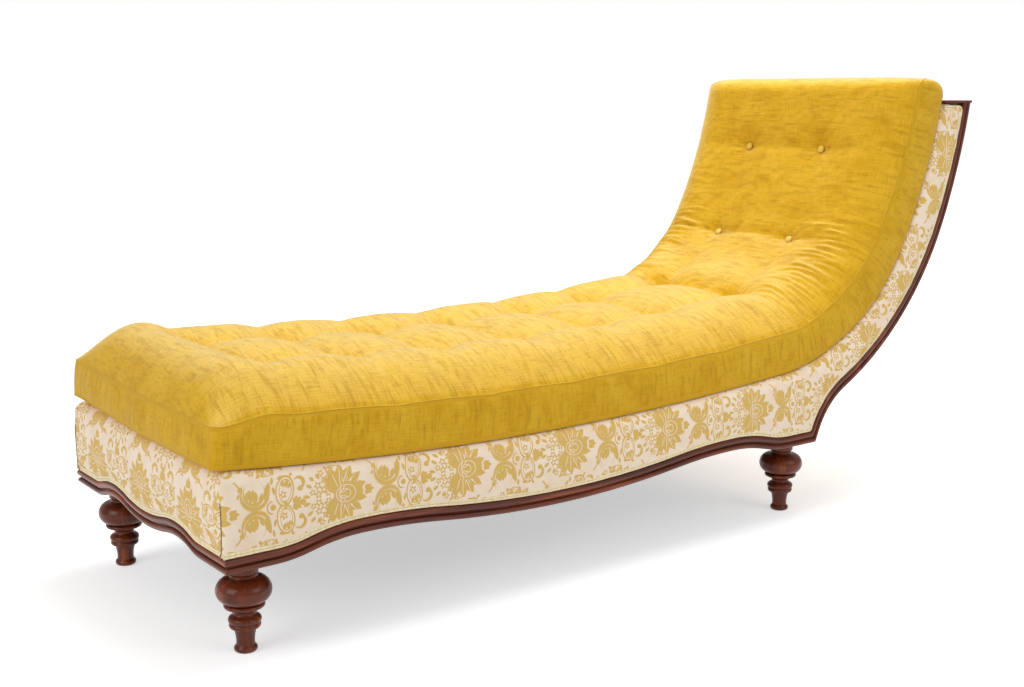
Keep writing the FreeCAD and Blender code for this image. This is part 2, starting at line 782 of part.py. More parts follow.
seat_moulding, back_moulding = side_trim(moulding_points, back.length)
both_sides("seat_moulding", seat_moulding)
both_sides("back_moulding", below(back_moulding, cap_bottom))
nodes["foot_end_moulding"] = foot_trim(moulding_points)
nodes["crest_cap"] = crest_cap()
welt_top = back.reach(moulding_height + cloth_gap + 4 * welt_radius, "z", cap_bottom, 0, back.length)
seat_welt, back_welt = side_trim(welt_points(), welt_top)
both_sides("seat_welt", seat_welt)
both_sides("back_welt", back_welt)
nodes["foot_end_welt"] = foot_trim(welt_points())

long_strips, seat_strips, back_strips = webbing()
nodes["long_webbing"] = Part.makeCompound(long_strips)
nodes["seat_cross_webbing"] = Part.makeCompound(seat_strips)
nodes["back_cross_webbing"] = Part.makeCompound(back_strips)
nodes["deck_hessian"], nodes["deck_stuffing"], nodes["deck_cover"] = deck_layers()
stuffing = (roll_radius - cloth - stuffing_gap, side_stuffing - stuffing_gap, 0, stuffing_floor)
cover = (roll_radius, cloth, side_stuffing, cloth_floor)
both_sides("side_stuffing", side_upholstery(*stuffing))
both_sides("side_cover", side_upholstery(*cover))
nodes["foot_end_stuffing"] = foot_upholstery(*stuffing)
nodes["foot_end_cover"] = foot_upholstery(*cover)
nodes["dust_cover"] = dust_cover()
nodes["outside_back_cover"] = outside_back()
mattress()

# The origin goes to the floor under the middle of the couch
whole_box = Part.makeCompound(list(nodes.values())).optimalBoundingBox(False, False)
shift = V(-whole_box.Center.x, 0, 0)
os.makedirs("parts", exist_ok=True)
for name, shape in nodes.items():
    shape.translated(shift).exportStep("parts/%s.step" % name)
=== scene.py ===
import math

import bpy
import numpy as np
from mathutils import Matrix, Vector


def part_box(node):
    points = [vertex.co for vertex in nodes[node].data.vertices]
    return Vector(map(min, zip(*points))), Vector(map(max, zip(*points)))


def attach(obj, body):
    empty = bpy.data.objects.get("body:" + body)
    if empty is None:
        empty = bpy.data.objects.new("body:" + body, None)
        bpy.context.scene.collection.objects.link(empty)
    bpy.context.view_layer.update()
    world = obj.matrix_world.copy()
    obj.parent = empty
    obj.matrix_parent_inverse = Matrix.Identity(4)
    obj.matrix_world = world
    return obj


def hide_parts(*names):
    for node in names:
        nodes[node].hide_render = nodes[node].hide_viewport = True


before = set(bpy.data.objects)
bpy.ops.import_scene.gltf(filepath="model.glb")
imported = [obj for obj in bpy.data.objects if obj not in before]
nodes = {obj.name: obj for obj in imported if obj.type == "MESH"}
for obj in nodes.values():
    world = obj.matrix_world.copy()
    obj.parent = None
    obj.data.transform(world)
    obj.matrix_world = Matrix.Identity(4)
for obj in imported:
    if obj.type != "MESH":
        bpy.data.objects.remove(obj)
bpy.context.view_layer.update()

# Lengths are metres and angles degrees, in the frame's axes: X from the foot end to the head end,
# Z up, and the photographed long side is -Y. Lengths along the couch start at its foot end.
rng = np.random.RandomState(7)
fine = 2

# Frame sizes that the soft pieces follow
foot_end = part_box("foot_end_moulding")[0][0]
half_width = -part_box("front_seat_moulding")[0][1]
cap_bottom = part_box("crest_cap")[0][2]
seat_length = 1.453
moulding_depth = 0.018
moulding_height = 0.028
moulding_bottom = 0.167
rail_face = half_width - moulding_depth

# Mattress
mattress_start = -0.008
mattress_length = 2.254
mattress_half = 0.328
mattress_corner = 0.018
bend = 1.3634
tuft_gauge = 0.117
seat_rows = [0.159, 0.356, 0.556, 0.759, 0.979, 1.176, 1.440]
back_rows = [1.764, 2.047]
seat_button_level = 0.108
back_button_level = 0.1295
seat_crown = 0.172
back_crown = 0.154
top_roll = 0.030
piping_radius = 0.0011

# Tufting, each as (seat, back): creases across, creases along, and the pull of one button
cross_depth = (0.0265, 0.0095)
cross_width = (0.042, 0.024)
along_depth = (0.0235, 0.0085)
button_pull = (0.0140, 0.0115)

# Panels and trim
panel_base = 0.0080
panel_out = 0.0150
panel_bulge = 0.0045
panel_thickness = 0.0095
panel_rows = 20 * fine
corner_gap = 0.0022
under_cap = cap_bottom - 0.0005
welt_out = 0.0148
roll_radius = 0.026
welt_radius = 0.0025
cords = (1, 3)
foot_hole = 0.034

# Repeat and row height of the damask's figure, in millimetres
fabric_repeat = 255.0
fabric_row = 107.5


class Track:
    """A plane curve of straight runs and arcs, given as (length, turn) pieces from its start."""

    def __init__(self, a, z, heading, pieces):
        self.first_s, self.first_a, self.first_z = [], [], []
        self.first_heading, self.bend = [], []
        self.length = 0.0
        heading = math.radians(heading)
        for length, turn in pieces:
            curl = math.radians(turn) / length
            self.first_s.append(self.length)
            self.first_a.append(a)
            self.first_z.append(z)
            self.first_heading.append(heading)
            self.bend.append(curl)
            self.length += length
            (a, z), heading = self.at(self.length), heading + curl * length

    def piece(self, s):
        return np.clip(np.searchsorted(self.first_s, s, side="right") - 1, 0, len(self.first_s) - 1)

    def heading(self, s):
        k = self.piece(s)
        return np.take(self.first_heading, k) + np.take(self.bend, k) * (s - np.take(self.first_s, k))

    def at(self, s, n=0.0):
        """The points at lengths s along the curve, n to its left."""
        s = np.asarray(s, float)
        k = self.piece(s)
        curl = np.take(self.bend, k)
        start = np.take(self.first_heading, k)
        here = s - np.take(self.first_s, k)
        end = start + curl * here
        straight = np.abs(curl) < 1e-9
        safe = np.where(straight, 1.0, curl)
        a = np.where(straight, here * np.cos(start), (np.sin(end) - np.sin(start)) / safe)
        z = np.where(straight, here * np.sin(start), (np.cos(start) - np.cos(end)) / safe)
        a = np.take(self.first_a, k) + a - n * np.sin(end)
        z = np.take(self.first_z, k) + z + n * np.cos(end)
        return np.array([a, z])


def s_bend(run, rise, first_share):
    """Two equal and opposite arcs that climb by rise over run, level at both ends."""
    turn = 2 * math.degrees(math.atan(rise / run))
    length = run / math.sin(math.radians(turn)) * math.radians(turn)
    return [(length * first_share, turn), (length * (1 - first_share), -turn)]


def serpentine(half_length, flat, hump, hump_rise, centre_rise):
    half = [(flat, 0)] + s_bend(hump - flat, hump_rise, 0.4)
    half += s_bend(half_length - hump, centre_rise - hump_rise, 0.35)
    return half + half[::-1]


bottom = Track(foot_end, moulding_bottom, 0, serpentine(seat_length / 2, 0.095, 0.265, 0.022, -0.007))
back = Track(foot_end + seat_length, moulding_bottom, 67.3,
             [(0.027, 0), (0.1271, -40.5), (0.4984, 40.3), (0.3049, 13.7)])
deck = Track(foot_end, 0.3416, -5.84, [(1.3554, 11.03), (0.491, 56.83), (0.4017, 19.33)])
foot_edge = Track(-half_width, moulding_bottom, 0,
                  serpentine(half_width, 0.105, half_width - 0.145, 0.0145, -0.0013))


def smooth(share):
    share = np.clip(share, 0.0, 1.0)
    return share * share * (3 - 2 * share)


def round_off(distance, radius):
    """1 at an edge, falling to 0 a radius inwards along a quarter of a circle."""
    return 1 - np.sqrt(1 - np.clip(1 - distance / radius, 0, 1) ** 2)


def length_where(track, axis, value, start, count):
    """Length along a track where one of its coordinates reaches a value."""
    s = np.linspace(start, track.length, count)
    return np.interp(value, track.at(s)[axis], s)


def ripple(u, v, wavelength, count=9):
    """A soft random field from -1 to 1, made of waves of about one length in all directions."""
    total = np.zeros(np.broadcast(u, v).shape)
    for _ in range(count):
        angle = rng.uniform(0, math.pi)
        step = 2 * math.pi / (wavelength * rng.uniform(0.7, 1.5))
        phase = rng.uniform(0, 2 * math.pi)
        total += np.sin(step * (u * math.cos(angle) + v * math.sin(angle)) + phase)
    return total / math.sqrt(count * 2.0)


# Building meshes
def make_piece(name, points, faces, uv, material, sharp=None):
    """A mesh object from vertex positions, faces and one texture place for each vertex."""
    mesh = bpy.data.meshes.new(name)
    mesh.from_pydata(np.asarray(points).reshape(-1, 3).tolist(), [], faces)
    mesh.materials.append(material)
    mesh.shade_smooth()
    layer = mesh.uv_layers.new(name="cloth")
    corner = np.zeros(len(mesh.loops), int)
    mesh.loops.foreach_get("vertex_index", corner)
    layer.data.foreach_set("uv", np.asarray(uv, float).reshape(-1, 2)[corner].ravel())
    if sharp:
        wanted = {tuple(sorted(pair)) for pair in sharp}
        for edge in mesh.edges:
            if tuple(sorted(edge.vertices)) in wanted:
                edge.use_edge_sharp = True
    mesh.update()
    made = bpy.data.objects.new(name, mesh)
    bpy.context.scene.collection.objects.link(made)
    return made


def grid_faces(rows, columns, first=0, closed=False):
    """Faces of a grid of rows by columns; a closed one joins its last column to its first."""
    faces = []
    for i in range(rows - 1):
        for j in range(columns if closed else columns - 1):
            a = first + i * columns + j
            b = first + i * columns + (j + 1) % columns
            faces.append((a, b, b + columns, a + columns))
    return faces


def flipped(faces):
    return [tuple(reversed(face)) for face in faces]


def thicken(piece, thickness):
    """Gives a surface its thickness, on the side away from its faces' normals."""
    made = piece.modifiers.new("thickness", "SOLIDIFY")
    made.thickness = thickness
    made.offset = -1.0
    graph = bpy.context.evaluated_depsgraph_get()
    mesh = bpy.data.meshes.new_from_object(piece.evaluated_get(graph))
    piece.modifiers.clear()
    piece.data = mesh
    return piece


def cloth(name, place, cloth_place, faces, material, thickness):
    """A sheet from its X, Y and Z and its place on the flat cloth, each broadcast to one grid."""
    points = np.stack(np.broadcast_arrays(*place), axis=-1)
    uv = np.stack(np.broadcast_arrays(*cloth_place), axis=-1)
    return thicken(make_piece(name, points, faces, uv, material), thickness)


def tube(path, radius, sides=10, closed=False):
    """Points, faces and texture places of a round tube along a path of points."""
    path = np.asarray(path, float)
    if closed:
        along = np.roll(path, -1, axis=0) - np.roll(path, 1, axis=0)
    else:
        along = np.gradient(path, axis=0)
    along /= np.linalg.norm(along, axis=1)[:, None]
    side = np.zeros_like(path)
    guess = np.array([0.0, 1.0, 0.0]) if abs(along[0][1]) < 0.9 else np.array([0.0, 0.0, 1.0])
    for i, direction in enumerate(along):
        guess = guess - direction * guess.dot(direction)
        guess /= np.linalg.norm(guess)
        side[i] = guess
    up = np.cross(along, side)
    turn = np.linspace(0, 2 * math.pi, sides, endpoint=False)
    ring = side[:, None, :] * np.cos(turn)[None, :, None] + up[:, None, :] * np.sin(turn)[None, :, None]
    points = path[:, None, :] + radius * ring
    run = np.concatenate([[0], np.cumsum(np.linalg.norm(np.diff(path, axis=0), axis=1))])
    uv = np.stack(np.broadcast_arrays(run[:, None], turn[None, :] / (2 * math.pi)), axis=-1)
    count = len(path)
    faces = grid_faces(count, sides, closed=True)
    if closed:
        last = (count - 1) * sides
        faces += [(last + j, last + (j + 1) % sides, (j + 1) % sides, j) for j in range(sides)]
    else:
        faces += [tuple(range(sides))[::-1], tuple(range((count - 1) * sides, count * sides))]
    return points.reshape(-1, 3), faces, uv.reshape(-1, 2)


def merged_piece(name, parts, material):
    """One object from several (points, faces, texture places)."""
    points, faces, uv, first = [], [], [], 0
    for part_points, part_faces, part_uv in parts:
        points.append(np.asarray(part_points).reshape(-1, 3))
        uv.append(np.asarray(part_uv).reshape(-1, 2))
        faces += [tuple(index + first for index in face) for face in part_faces]
        first += len(points[-1])
    return make_piece(name, np.concatenate(points), faces, np.concatenate(uv), material)


# Building materials
class Graph:
    """Short calls for the node tree of a material, or of a world."""

    def __init__(self, name, group=bpy.data.materials):
        self.material = group.new(name)
        self.material.use_nodes = True
        self.tree = self.material.node_tree
        self.tree.nodes.clear()

    def plug(self, socket, value):
        if isinstance(value, bpy.types.NodeSocket):
            self.tree.links.new(value, socket)
        else:
            socket.default_value = value

    def node(self, kind, inputs=None, **settings):
        made = self.tree.nodes.new("ShaderNode" + kind)
        for name, value in settings.items():
            setattr(made, name, value)
        for key, value in (inputs or {}).items():
            self.plug(made.inputs[key], value)
        return made

    def math(self, operation, a, b=0.0, c=0.0):
        return self.node("Math", {0: a, 1: b, 2: c}, operation=operation).outputs[0]

    def vector(self, operation, a, b=(0, 0, 0), output=0):
        return self.node("VectorMath", {0: a, 1: b}, operation=operation).outputs[output]

    def mapped(self, vector, place=(0, 0, 0), turn=(0, 0, 0), scale=(1, 1, 1), kind="POINT"):
        turn = tuple(math.radians(angle) for angle in turn)
        return self.node("Mapping", {"Vector": vector, "Location": place, "Rotation": turn,
                                     "Scale": scale}, vector_type=kind).outputs[0]

    def noise(self, vector, scale, detail=3.0, roughness=0.5, distortion=0.0):
        return self.node("TexNoise", {"Vector": vector, "Scale": scale, "Detail": detail,
                                      "Roughness": roughness, "Distortion": distortion}).outputs["Fac"]

    def ramp(self, value, low, high, out_low=0.0, out_high=1.0, smoothly=False):
        kind = "SMOOTHSTEP" if smoothly else "LINEAR"
        return self.node("MapRange", {"Value": value, "From Min": low, "From Max": high,
                                      "To Min": out_low, "To Max": out_high},
                         interpolation_type=kind).outputs[0]

    def colour(self, share, first, second):
        made = self.node("Mix", data_type="RGBA")
        self.plug(made.inputs[0], share)
        self.plug(made.inputs[6], first)
        self.plug(made.inputs[7], second)
        return made.outputs[2]

    def bump(self, height, distance, strength):
        return self.node("Bump", {"Height": height, "Distance": distance, "Strength": strength}).outputs[0]

    def end(self, surface, kind="Material"):
        self.tree.links.new(surface, self.node("Output" + kind).inputs[0])
        return self.material

    def finish(self, **sockets):
        """Ends in a Principled shader; underscores in a socket's name stand for spaces."""
        shader = self.node("BsdfPrincipled")
        for name, value in sockets.items():
            self.plug(shader.inputs[name.replace("_", " ")], value)
        return self.end(shader.outputs[0])


def rgb(red, green, blue):
    """A colour written as on screen, turned into the linear values that a shader takes."""
    values = [channel / 255.0 for channel in (red, green, blue)]
    return tuple(v / 12.92 if v <= 0.04045 else ((v + 0.055) / 1.055) ** 2.4 for v in values) + (1.0,)


def velvet(name, dark, mid, light, seed):
    """Short-pile velvet with slubs along both threads, soft patches where the pile leans, and a painted
    sheen: faces that turn upwards are painted paler.
    """
    g = Graph(name)
    place = g.mapped(g.node("TexCoord").outputs["UV"], place=(seed, seed, 0))
    patches = g.noise(g.mapped(place, scale=(11, 11, 1)), 1.0, 5.0, 0.62, 1.1)
    streaks = g.noise(g.mapped(place, scale=(24, 7, 1)), 1.0, 3.0, 0.55, 0.6)
    long_slub = g.noise(g.mapped(place, scale=(28, 520, 1)), 1.0, 3.0, 0.6)
    cross_slub = g.noise(g.mapped(place, scale=(520, 36, 1)), 1.0, 3.0, 0.6)
    slub = g.math("MULTIPLY", g.math("ADD", long_slub, cross_slub), 0.5)
    pile = g.noise(place, 2600.0, 2.0, 0.6)
    tone = g.math("MULTIPLY_ADD", patches, 0.6, g.math("MULTIPLY", streaks, 0.4))
    # Painted sheen: the more a face turns upwards, the more it is painted towards pale yellow, as lit velvet
    # looks from above.
    painted_sheen_up = g.vector("DOT_PRODUCT", g.node("NewGeometry").outputs["Normal"], (0, 0, 1), 1)
    body = g.colour(g.ramp(painted_sheen_up, 0.62, 0.95, 0.0, 0.60), mid, rgb(246, 214, 130))
    body = g.colour(g.ramp(tone, 0.42, 0.66, 0.0, 0.55), body, light)
    body = g.colour(g.ramp(tone, 0.49, 0.37, 0.0, 0.22), body, dark)
    brushed = g.noise(g.mapped(place, turn=(0, 0, 35), scale=(90, 16, 1)), 1.0, 4.0, 0.6)
    body = g.colour(g.ramp(brushed, 0.50, 0.36, 0.0, 0.40), body, dark)
    body = g.colour(g.ramp(slub, 0.50, 0.38, 0.0, 0.60), body, dark)
    body = g.colour(g.ramp(slub, 0.57, 0.70, 0.0, 0.30), body, light)
    height = g.math("ADD", g.math("MULTIPLY", slub, 0.75), g.math("MULTIPLY", pile, 0.25))
    return g.finish(Base_Color=body, Roughness=0.85, Specular_IOR_Level=0.2,
                    Normal=g.bump(height, 0.0010, 0.55), Sheen_Weight=0.85, Sheen_Roughness=0.32,
                    Sheen_Tint=rgb(255, 240, 190))


class Motif:
    """A flat pattern gathered as the least of many shape values; under 1 is inside a shape.

    Its place is a vector in millimetres with Z 1, so that one product gives a distance along any
    direction.
    """

    def __init__(self, graph, place):
        self.g = graph
        self.place = place
        self.value = 4.0

    def local(self, x, y, turn, size):
        return self.g.mapped(self.place, (x, y, 1), (0, 0, turn), (size[0], size[1], 1), "TEXTURE")

    def line(self, x, y, turn, size):
        """The distance from a place along one direction, counted in sizes."""
        along, off = math.cos(math.radians(turn)) / size, math.sin(math.radians(turn)) / size
        return self.g.vector("DOT_PRODUCT", self.place, (along, off, -x * along - y * off), 1)

    def add(self, value):
        self.value = self.g.math("MINIMUM", self.value, value)

    def keep_out(self, value):
        """Cuts a shape, whose value is under 1 inside, out of what was gathered so far."""
        self.value = self.g.math("MAXIMUM", self.value, self.g.math("SUBTRACT", 2.0, value))

    def oval(self, x, y, rx, ry, turn=0):
        return self.g.vector("LENGTH", self.local(x, y, turn, (rx, ry)), output=1)

    def leaf(self, x, y, length, width, turn):
        """A pointed leaf that starts at a place and grows along a direction."""
        half = length / 2
        middle_x = x + half * math.cos(math.radians(turn))
        middle_y = y + half * math.sin(math.radians(turn))
        along = self.line(middle_x, middle_y, turn, half)
        off = self.line(middle_x, middle_y, turn + 90, width / 2)
        return self.g.math("MULTIPLY_ADD", along, along, self.g.math("ABSOLUTE", off))

    def leaves(self, rows, width):
        """Adds leaves given as (x, y, turn, length)."""
        for x, y, turn, length in rows:
            self.add(self.leaf(x, y, length, width, turn))

    def ring(self, x, y, rx, ry, line, turn=0):
        """An oval line; its value is under 1 within half a line's width."""
        off = self.g.math("SUBTRACT", self.oval(x, y, rx, ry, turn), 1.0)
        return self.g.math("MULTIPLY", self.g.math("ABSOLUTE", off), (rx + ry) / line)

    def crescent(self, x, y, rx, ry, turn, shift, slim):
        """An oval with a smaller one, moved along its own X by shift, taken out of it."""
        whole = self.oval(x, y, rx, ry, turn)
        dx = shift * math.cos(math.radians(turn))
        dy = shift * math.sin(math.radians(turn))
        bite = self.oval(x + dx, y + dy, rx * slim, ry * slim, turn)
        return self.g.math("MAXIMUM", whole, self.g.math("SUBTRACT", 2.0, bite))

    def flower(self, x, y, radius, petals=5):
        place = self.local(x, y, 11 * (x + y), (radius, radius))
        along = self.g.vector("DOT_PRODUCT", place, (1, 0, 0), 1)
        off = self.g.vector("DOT_PRODUCT", place, (0, 1, 0), 1)
        turn = self.g.math("ARCTAN2", off, along)
        wave = self.g.math("COSINE", self.g.math("MULTIPLY", turn, float(petals)))
        reach = self.g.math("MULTIPLY_ADD", wave, 0.24, 0.76)
        away = self.g.vector("LENGTH", place, output=1)
        petal = self.g.math("DIVIDE", away, reach)
        heart = self.g.math("SUBTRACT", 1.32, away)
        return self.g.math("MAXIMUM", petal, heart)


def medallion(motif):
    """Half of the lobed leaf and its bouquet; the other half is its mirror image."""
    for turn, length, width in ((12, 61, 22), (33, 60, 22), (54, 57, 22), (76, 54, 21), (99, 51, 19),
                                (122, 40, 15)):
        motif.add(motif.leaf(-4, 1, length, width, turn))
    for turn in (22, 43, 65, 88, 111):
        motif.keep_out(motif.leaf(4, 3, 52, 1.6, turn))
    for turn in (12, 33, 54, 76, 99):
        motif.keep_out(motif.leaf(14, 5, 30, 1.3, turn))
    motif.add(motif.oval(20, 0, 29, 20))
    motif.keep_out(motif.ring(15, 0, 19, 15, 1.5))
    motif.keep_out(motif.ring(13, 0, 11, 8, 1.4))
    for turn in (18, 45, 75):
        motif.keep_out(motif.leaf(2, 1, 22, 1.6, turn))
    motif.leaves(((54, 0, 0, 17), (54, 0, 32, 14), (54, 0, 64, 10)), 8)
    places = ((-14, 22, 7.8), (-27, 14, 7.6), (-24, 30, 8.0), (-38, 22, 7.4), (-38, 7, 7.4),
              (-19, 7, 6.8), (-13, 38, 7.6), (-31, 43, 6.6), (-49, 12, 6.4), (-8, 51, 5.2))
    for x, y, radius in places:
        motif.add(motif.flower(x, y, radius))
    motif.leaves(((-44, 31, 140, 13), (-54, 5, 165, 14), (-20, 47, 95, 11), (-49, 20, 150, 14),
                  (-34, 33, 120, 12), (-6, 30, 60, 12)), 6.4)
    motif.add(motif.leaf(-62, 0, 11, 8, 160))
    arch = motif.g.math("MAXIMUM", motif.ring(-4, 44, 15, 9, 2.6),
                        motif.g.math("SUBTRACT", 2.0, motif.oval(-4, 26, 15, 17)))
    motif.add(arch)


def scrolls(motif):
    """Half of the ornament between two medallions, round its link."""
    motif.add(motif.crescent(-28, 27, 28, 27, 78, 6.0, 0.90))
    motif.add(motif.crescent(-29, 29, 21.5, 20, 84, 4.0, 0.89))
    for x, y, turn, length, width in ((-46, 18, 62, 21, 9.5), (-38, 12, 72, 26, 10), (-29, 10, 84, 23, 9.5),
                                      (-21, 11, 66, 19, 8), (-11, 13, 72, 33, 11)):
        motif.add(motif.leaf(x, y, length, width, turn))
    motif.add(motif.oval(-53, 39, 4.6, 4.6))
    motif.add(motif.leaf(-56, 33, 10, 4, 250))
    strap = motif.ring(-103, 12, 57, 57, 2.8)
    motif.add(motif.g.math("MAXIMUM", strap, motif.oval(-58, 52, 15, 24)))
    motif.add(motif.g.math("MAXIMUM", motif.ring(4, 0, 11, 11, 2.9),
                           motif.oval(-2, 0, 12, 12)))
    motif.add(motif.oval(4, 0, 5.2, 5.2))
    motif.add(motif.ring(27, 24, 16, 25, 3.2, -8))
    motif.add(motif.ring(28, 24, 11, 19.5, 1.8, -8))
    motif.add(motif.flower(24, 18, 7.2))
    motif.leaves(((26, 30, 105, 14), (29, 29, 75, 15), (32, 28, 45, 12), (25, 8, 300, 9)), 6.6)
    motif.leaves(((42, 0, 0, 19), (42, 0, 32, 17), (42, 0, 62, 14)), 9)
    motif.add(motif.crescent(54, 34, 12, 12, 205, 4.2, 0.80))
    motif.add(motif.oval(56, 24, 5.2, 4.6))
    motif.leaves(((38, 46, 70, 14), (8, 20, 100, 15), (3, 38, 80, 14), (14, 46, 20, 12)), 5.5)


def damask():
    """Cream satin ground with a gold figure of medallions and scrolls in staggered rows."""
    g = Graph("figured_damask")
    cloth_place = g.node("TexCoord").outputs["UV"]
    split = g.node("SeparateXYZ", {0: g.mapped(cloth_place, scale=(1000, 1000, 1))})
    row = g.math("FLOOR", g.math("DIVIDE", split.outputs[1], fabric_row))
    level = g.math("SUBTRACT", split.outputs[1], g.math("MULTIPLY_ADD", row, fabric_row, fabric_row / 2))
    half = fabric_repeat / 2
    stagger = g.math("MULTIPLY", g.math("MODULO", g.math("ABSOLUTE", row), 2.0), half)
    along = g.math("ADD", split.outputs[0], stagger)
    upright = g.math("ABSOLUTE", level)
    wrapped = g.math("WRAP", along, half, -half)
    other = g.math("WRAP", g.math("ADD", along, half), half, -half)
    first = Motif(g, g.node("CombineXYZ", {0: wrapped, 1: upright, 2: 1.0}).outputs[0])
    medallion(first)
    second = Motif(g, g.node("CombineXYZ", {0: other, 1: upright, 2: 1.0}).outputs[0])
    scrolls(second)
    figure = g.math("MINIMUM", first.value, second.value)
    wobble = g.noise(cloth_place, 900.0, 1.0)
    figure = g.math("ADD", figure, g.math("MULTIPLY_ADD", wobble, 0.16, -0.08))
    mask = g.ramp(figure, 1.07, 0.93, smoothly=True)
    warp = g.noise(g.mapped(cloth_place, scale=(3200, 240, 1)), 1.0, 2.0)
    weft = g.noise(g.mapped(cloth_place, scale=(240, 3200, 1)), 1.0, 2.0)
    shade = g.noise(cloth_place, 22.0, 3.0)
    ground = g.colour(g.ramp(warp, 0.3, 0.7), rgb(252, 228, 202), rgb(255, 240, 220))
    ground = g.colour(g.ramp(shade, 0.42, 0.7, 0.0, 0.5), ground, rgb(246, 216, 180))
    gold = g.colour(g.ramp(weft, 0.32, 0.68), rgb(214, 168, 74), rgb(238, 204, 116))
    body = g.colour(mask, ground, gold)
    ribs = g.node("TexWave", {"Vector": cloth_place, "Scale": 420.0, "Distortion": 1.0},
                  bands_direction="Y").outputs["Fac"]
    height = g.math("ADD", g.math("MULTIPLY", ribs, 0.3), g.math("MULTIPLY", weft, 0.5))
    rough = g.ramp(mask, 0.0, 1.0, 0.42, 0.6)
    return g.finish(Base_Color=body, Roughness=rough, Normal=g.bump(height, 0.0005, 0.7),
                    Sheen_Weight=0.12, Sheen_Roughness=0.4, Specular_IOR_Level=0.4)


def wood(name, grain, dark, mid, light, gloss=0.26, coat=0.18, worn=True):
    """Stained wood with its grain along one axis, pores, and pale wear on the sharp edges."""
    g = Graph(name)
    place = g.node("TexCoord").outputs["Object"]
    scale = [38.0, 38.0, 38.0]
    scale["XYZ".index(grain)] = 2.2
    stretched = g.mapped(place, scale=tuple(scale))
    figure = g.noise(stretched, 1.0, 5.0, 0.62, 0.9)
    pores = g.noise(g.mapped(stretched, scale=(7, 7, 7)), 1.0, 3.0, 0.6)
    patches = g.noise(place, 7.0, 3.0)
    body = g.colour(g.ramp(figure, 0.3, 0.7), dark, mid)
    body = g.colour(g.ramp(figure, 0.56, 0.78, 0.0, 0.8), body, light)
    body = g.colour(g.ramp(pores, 0.56, 0.72, 0.0, 0.55), body, dark)
    body = g.colour(g.ramp(patches, 0.4, 0.75, 0.0, 0.3), body, dark)
    rough = g.ramp(pores, 0.3, 0.7, gloss, gloss + 0.14)
    if worn:
        soft = g.node("Bevel", {"Radius": 0.0022}, samples=4).outputs[0]
        flat = g.node("NewGeometry").outputs["Normal"]
        edge = g.math("SUBTRACT", 1.0, g.vector("DOT_PRODUCT", soft, flat, output=1))
        rub = g.noise(place, 46.0, 4.0, 0.6)
        wear = g.math("MULTIPLY", g.ramp(edge, 0.02, 0.16), g.ramp(rub, 0.5, 0.66))
        body = g.colour(g.math("MULTIPLY", wear, 0.55), body, rgb(176, 118, 84))
        chips = g.math("MULTIPLY", g.ramp(edge, 0.03, 0.1), g.ramp(g.noise(place, 31.0, 2.0), 0.71, 0.73))
        body = g.colour(chips, body, rgb(214, 178, 148))
    height = g.math("MULTIPLY", pores, -1.0)
    return g.finish(Base_Color=body, Roughness=rough, Normal=g.bump(height, 0.0003, 0.35),
                    Coat_Weight=coat, Coat_Roughness=0.10, Specular_IOR_Level=0.26)


def woven(name, first, second, pitch, roughness=0.9, sheen=0.1, space="Object"):
    """Plain-woven cloth or tape with two thread directions, uneven yarns, and painted shade between the
    threads.
    """
    g = Graph(name)
    place = g.node("TexCoord").outputs[space]
    one = g.node("TexWave", {"Vector": place, "Scale": 0.32 / pitch, "Distortion": 0.6,
                             "Detail Scale": 2.0}, bands_direction="X").outputs["Fac"]
    two = g.node("TexWave", {"Vector": place, "Scale": 0.32 / pitch, "Distortion": 0.6,
                             "Detail Scale": 2.0}, bands_direction="Y").outputs["Fac"]
    weave = g.math("MULTIPLY", g.math("ADD", one, two), 0.5)
    yarn = g.noise(place, 60.0, 4.0, 0.6)
    body = g.colour(g.ramp(yarn, 0.35, 0.65), first, second)
    # Painted shade: the gaps between the threads are painted darker, down to four tenths of the yarn colour.
    body = g.colour(g.ramp(weave, 0.1, 0.7, 0.35, 0.0), body, tuple(0.4 * c for c in first[:3]) + (1.0,))
    return g.finish(Base_Color=body, Roughness=roughness, Normal=g.bump(weave, pitch * 0.3, 0.6),
                    Sheen_Weight=sheen, Specular_IOR_Level=0.2)


def cord_material(name, first, second, twist):
    """Silky twisted cord: yarns that wind round it, with their shade in the grooves."""
    g = Graph(name)
    place = g.node("TexCoord").outputs["UV"]
    split = g.node("SeparateXYZ", {0: place})
    phase = g.math("ADD", g.math("MULTIPLY", split.outputs[0], 2 * math.pi / twist),
                   g.math("MULTIPLY", split.outputs[1], 4 * math.pi))
    yarn = g.math("MULTIPLY_ADD", g.math("SINE", phase), 0.5, 0.5)
    spots = g.noise(g.mapped(place, scale=(160, 6, 1)), 1.0, 3.0)
    body = g.colour(g.ramp(spots, 0.4, 0.62), first, second)
    body = g.colour(g.ramp(yarn, 0.0, 0.30, 0.18, 0.0), body, rgb(196, 156, 84))
    return g.finish(Base_Color=body, Roughness=0.45, Normal=g.bump(yarn, 0.0005, 0.5),
                    Sheen_Weight=0.3, Specular_IOR_Level=0.4)


def steel():
    g = Graph("plain_steel")
    place = g.node("TexCoord").outputs["Object"]
    spots = g.noise(place, 240.0, 3.0)
    body = g.colour(g.ramp(spots, 0.35, 0.7), rgb(150, 150, 152), rgb(188, 188, 190))
    return g.finish(Base_Color=body, Metallic=1.0, Roughness=g.ramp(spots, 0.3, 0.7, 0.28, 0.45),
                    Normal=g.bump(spots, 0.0001, 0.3))


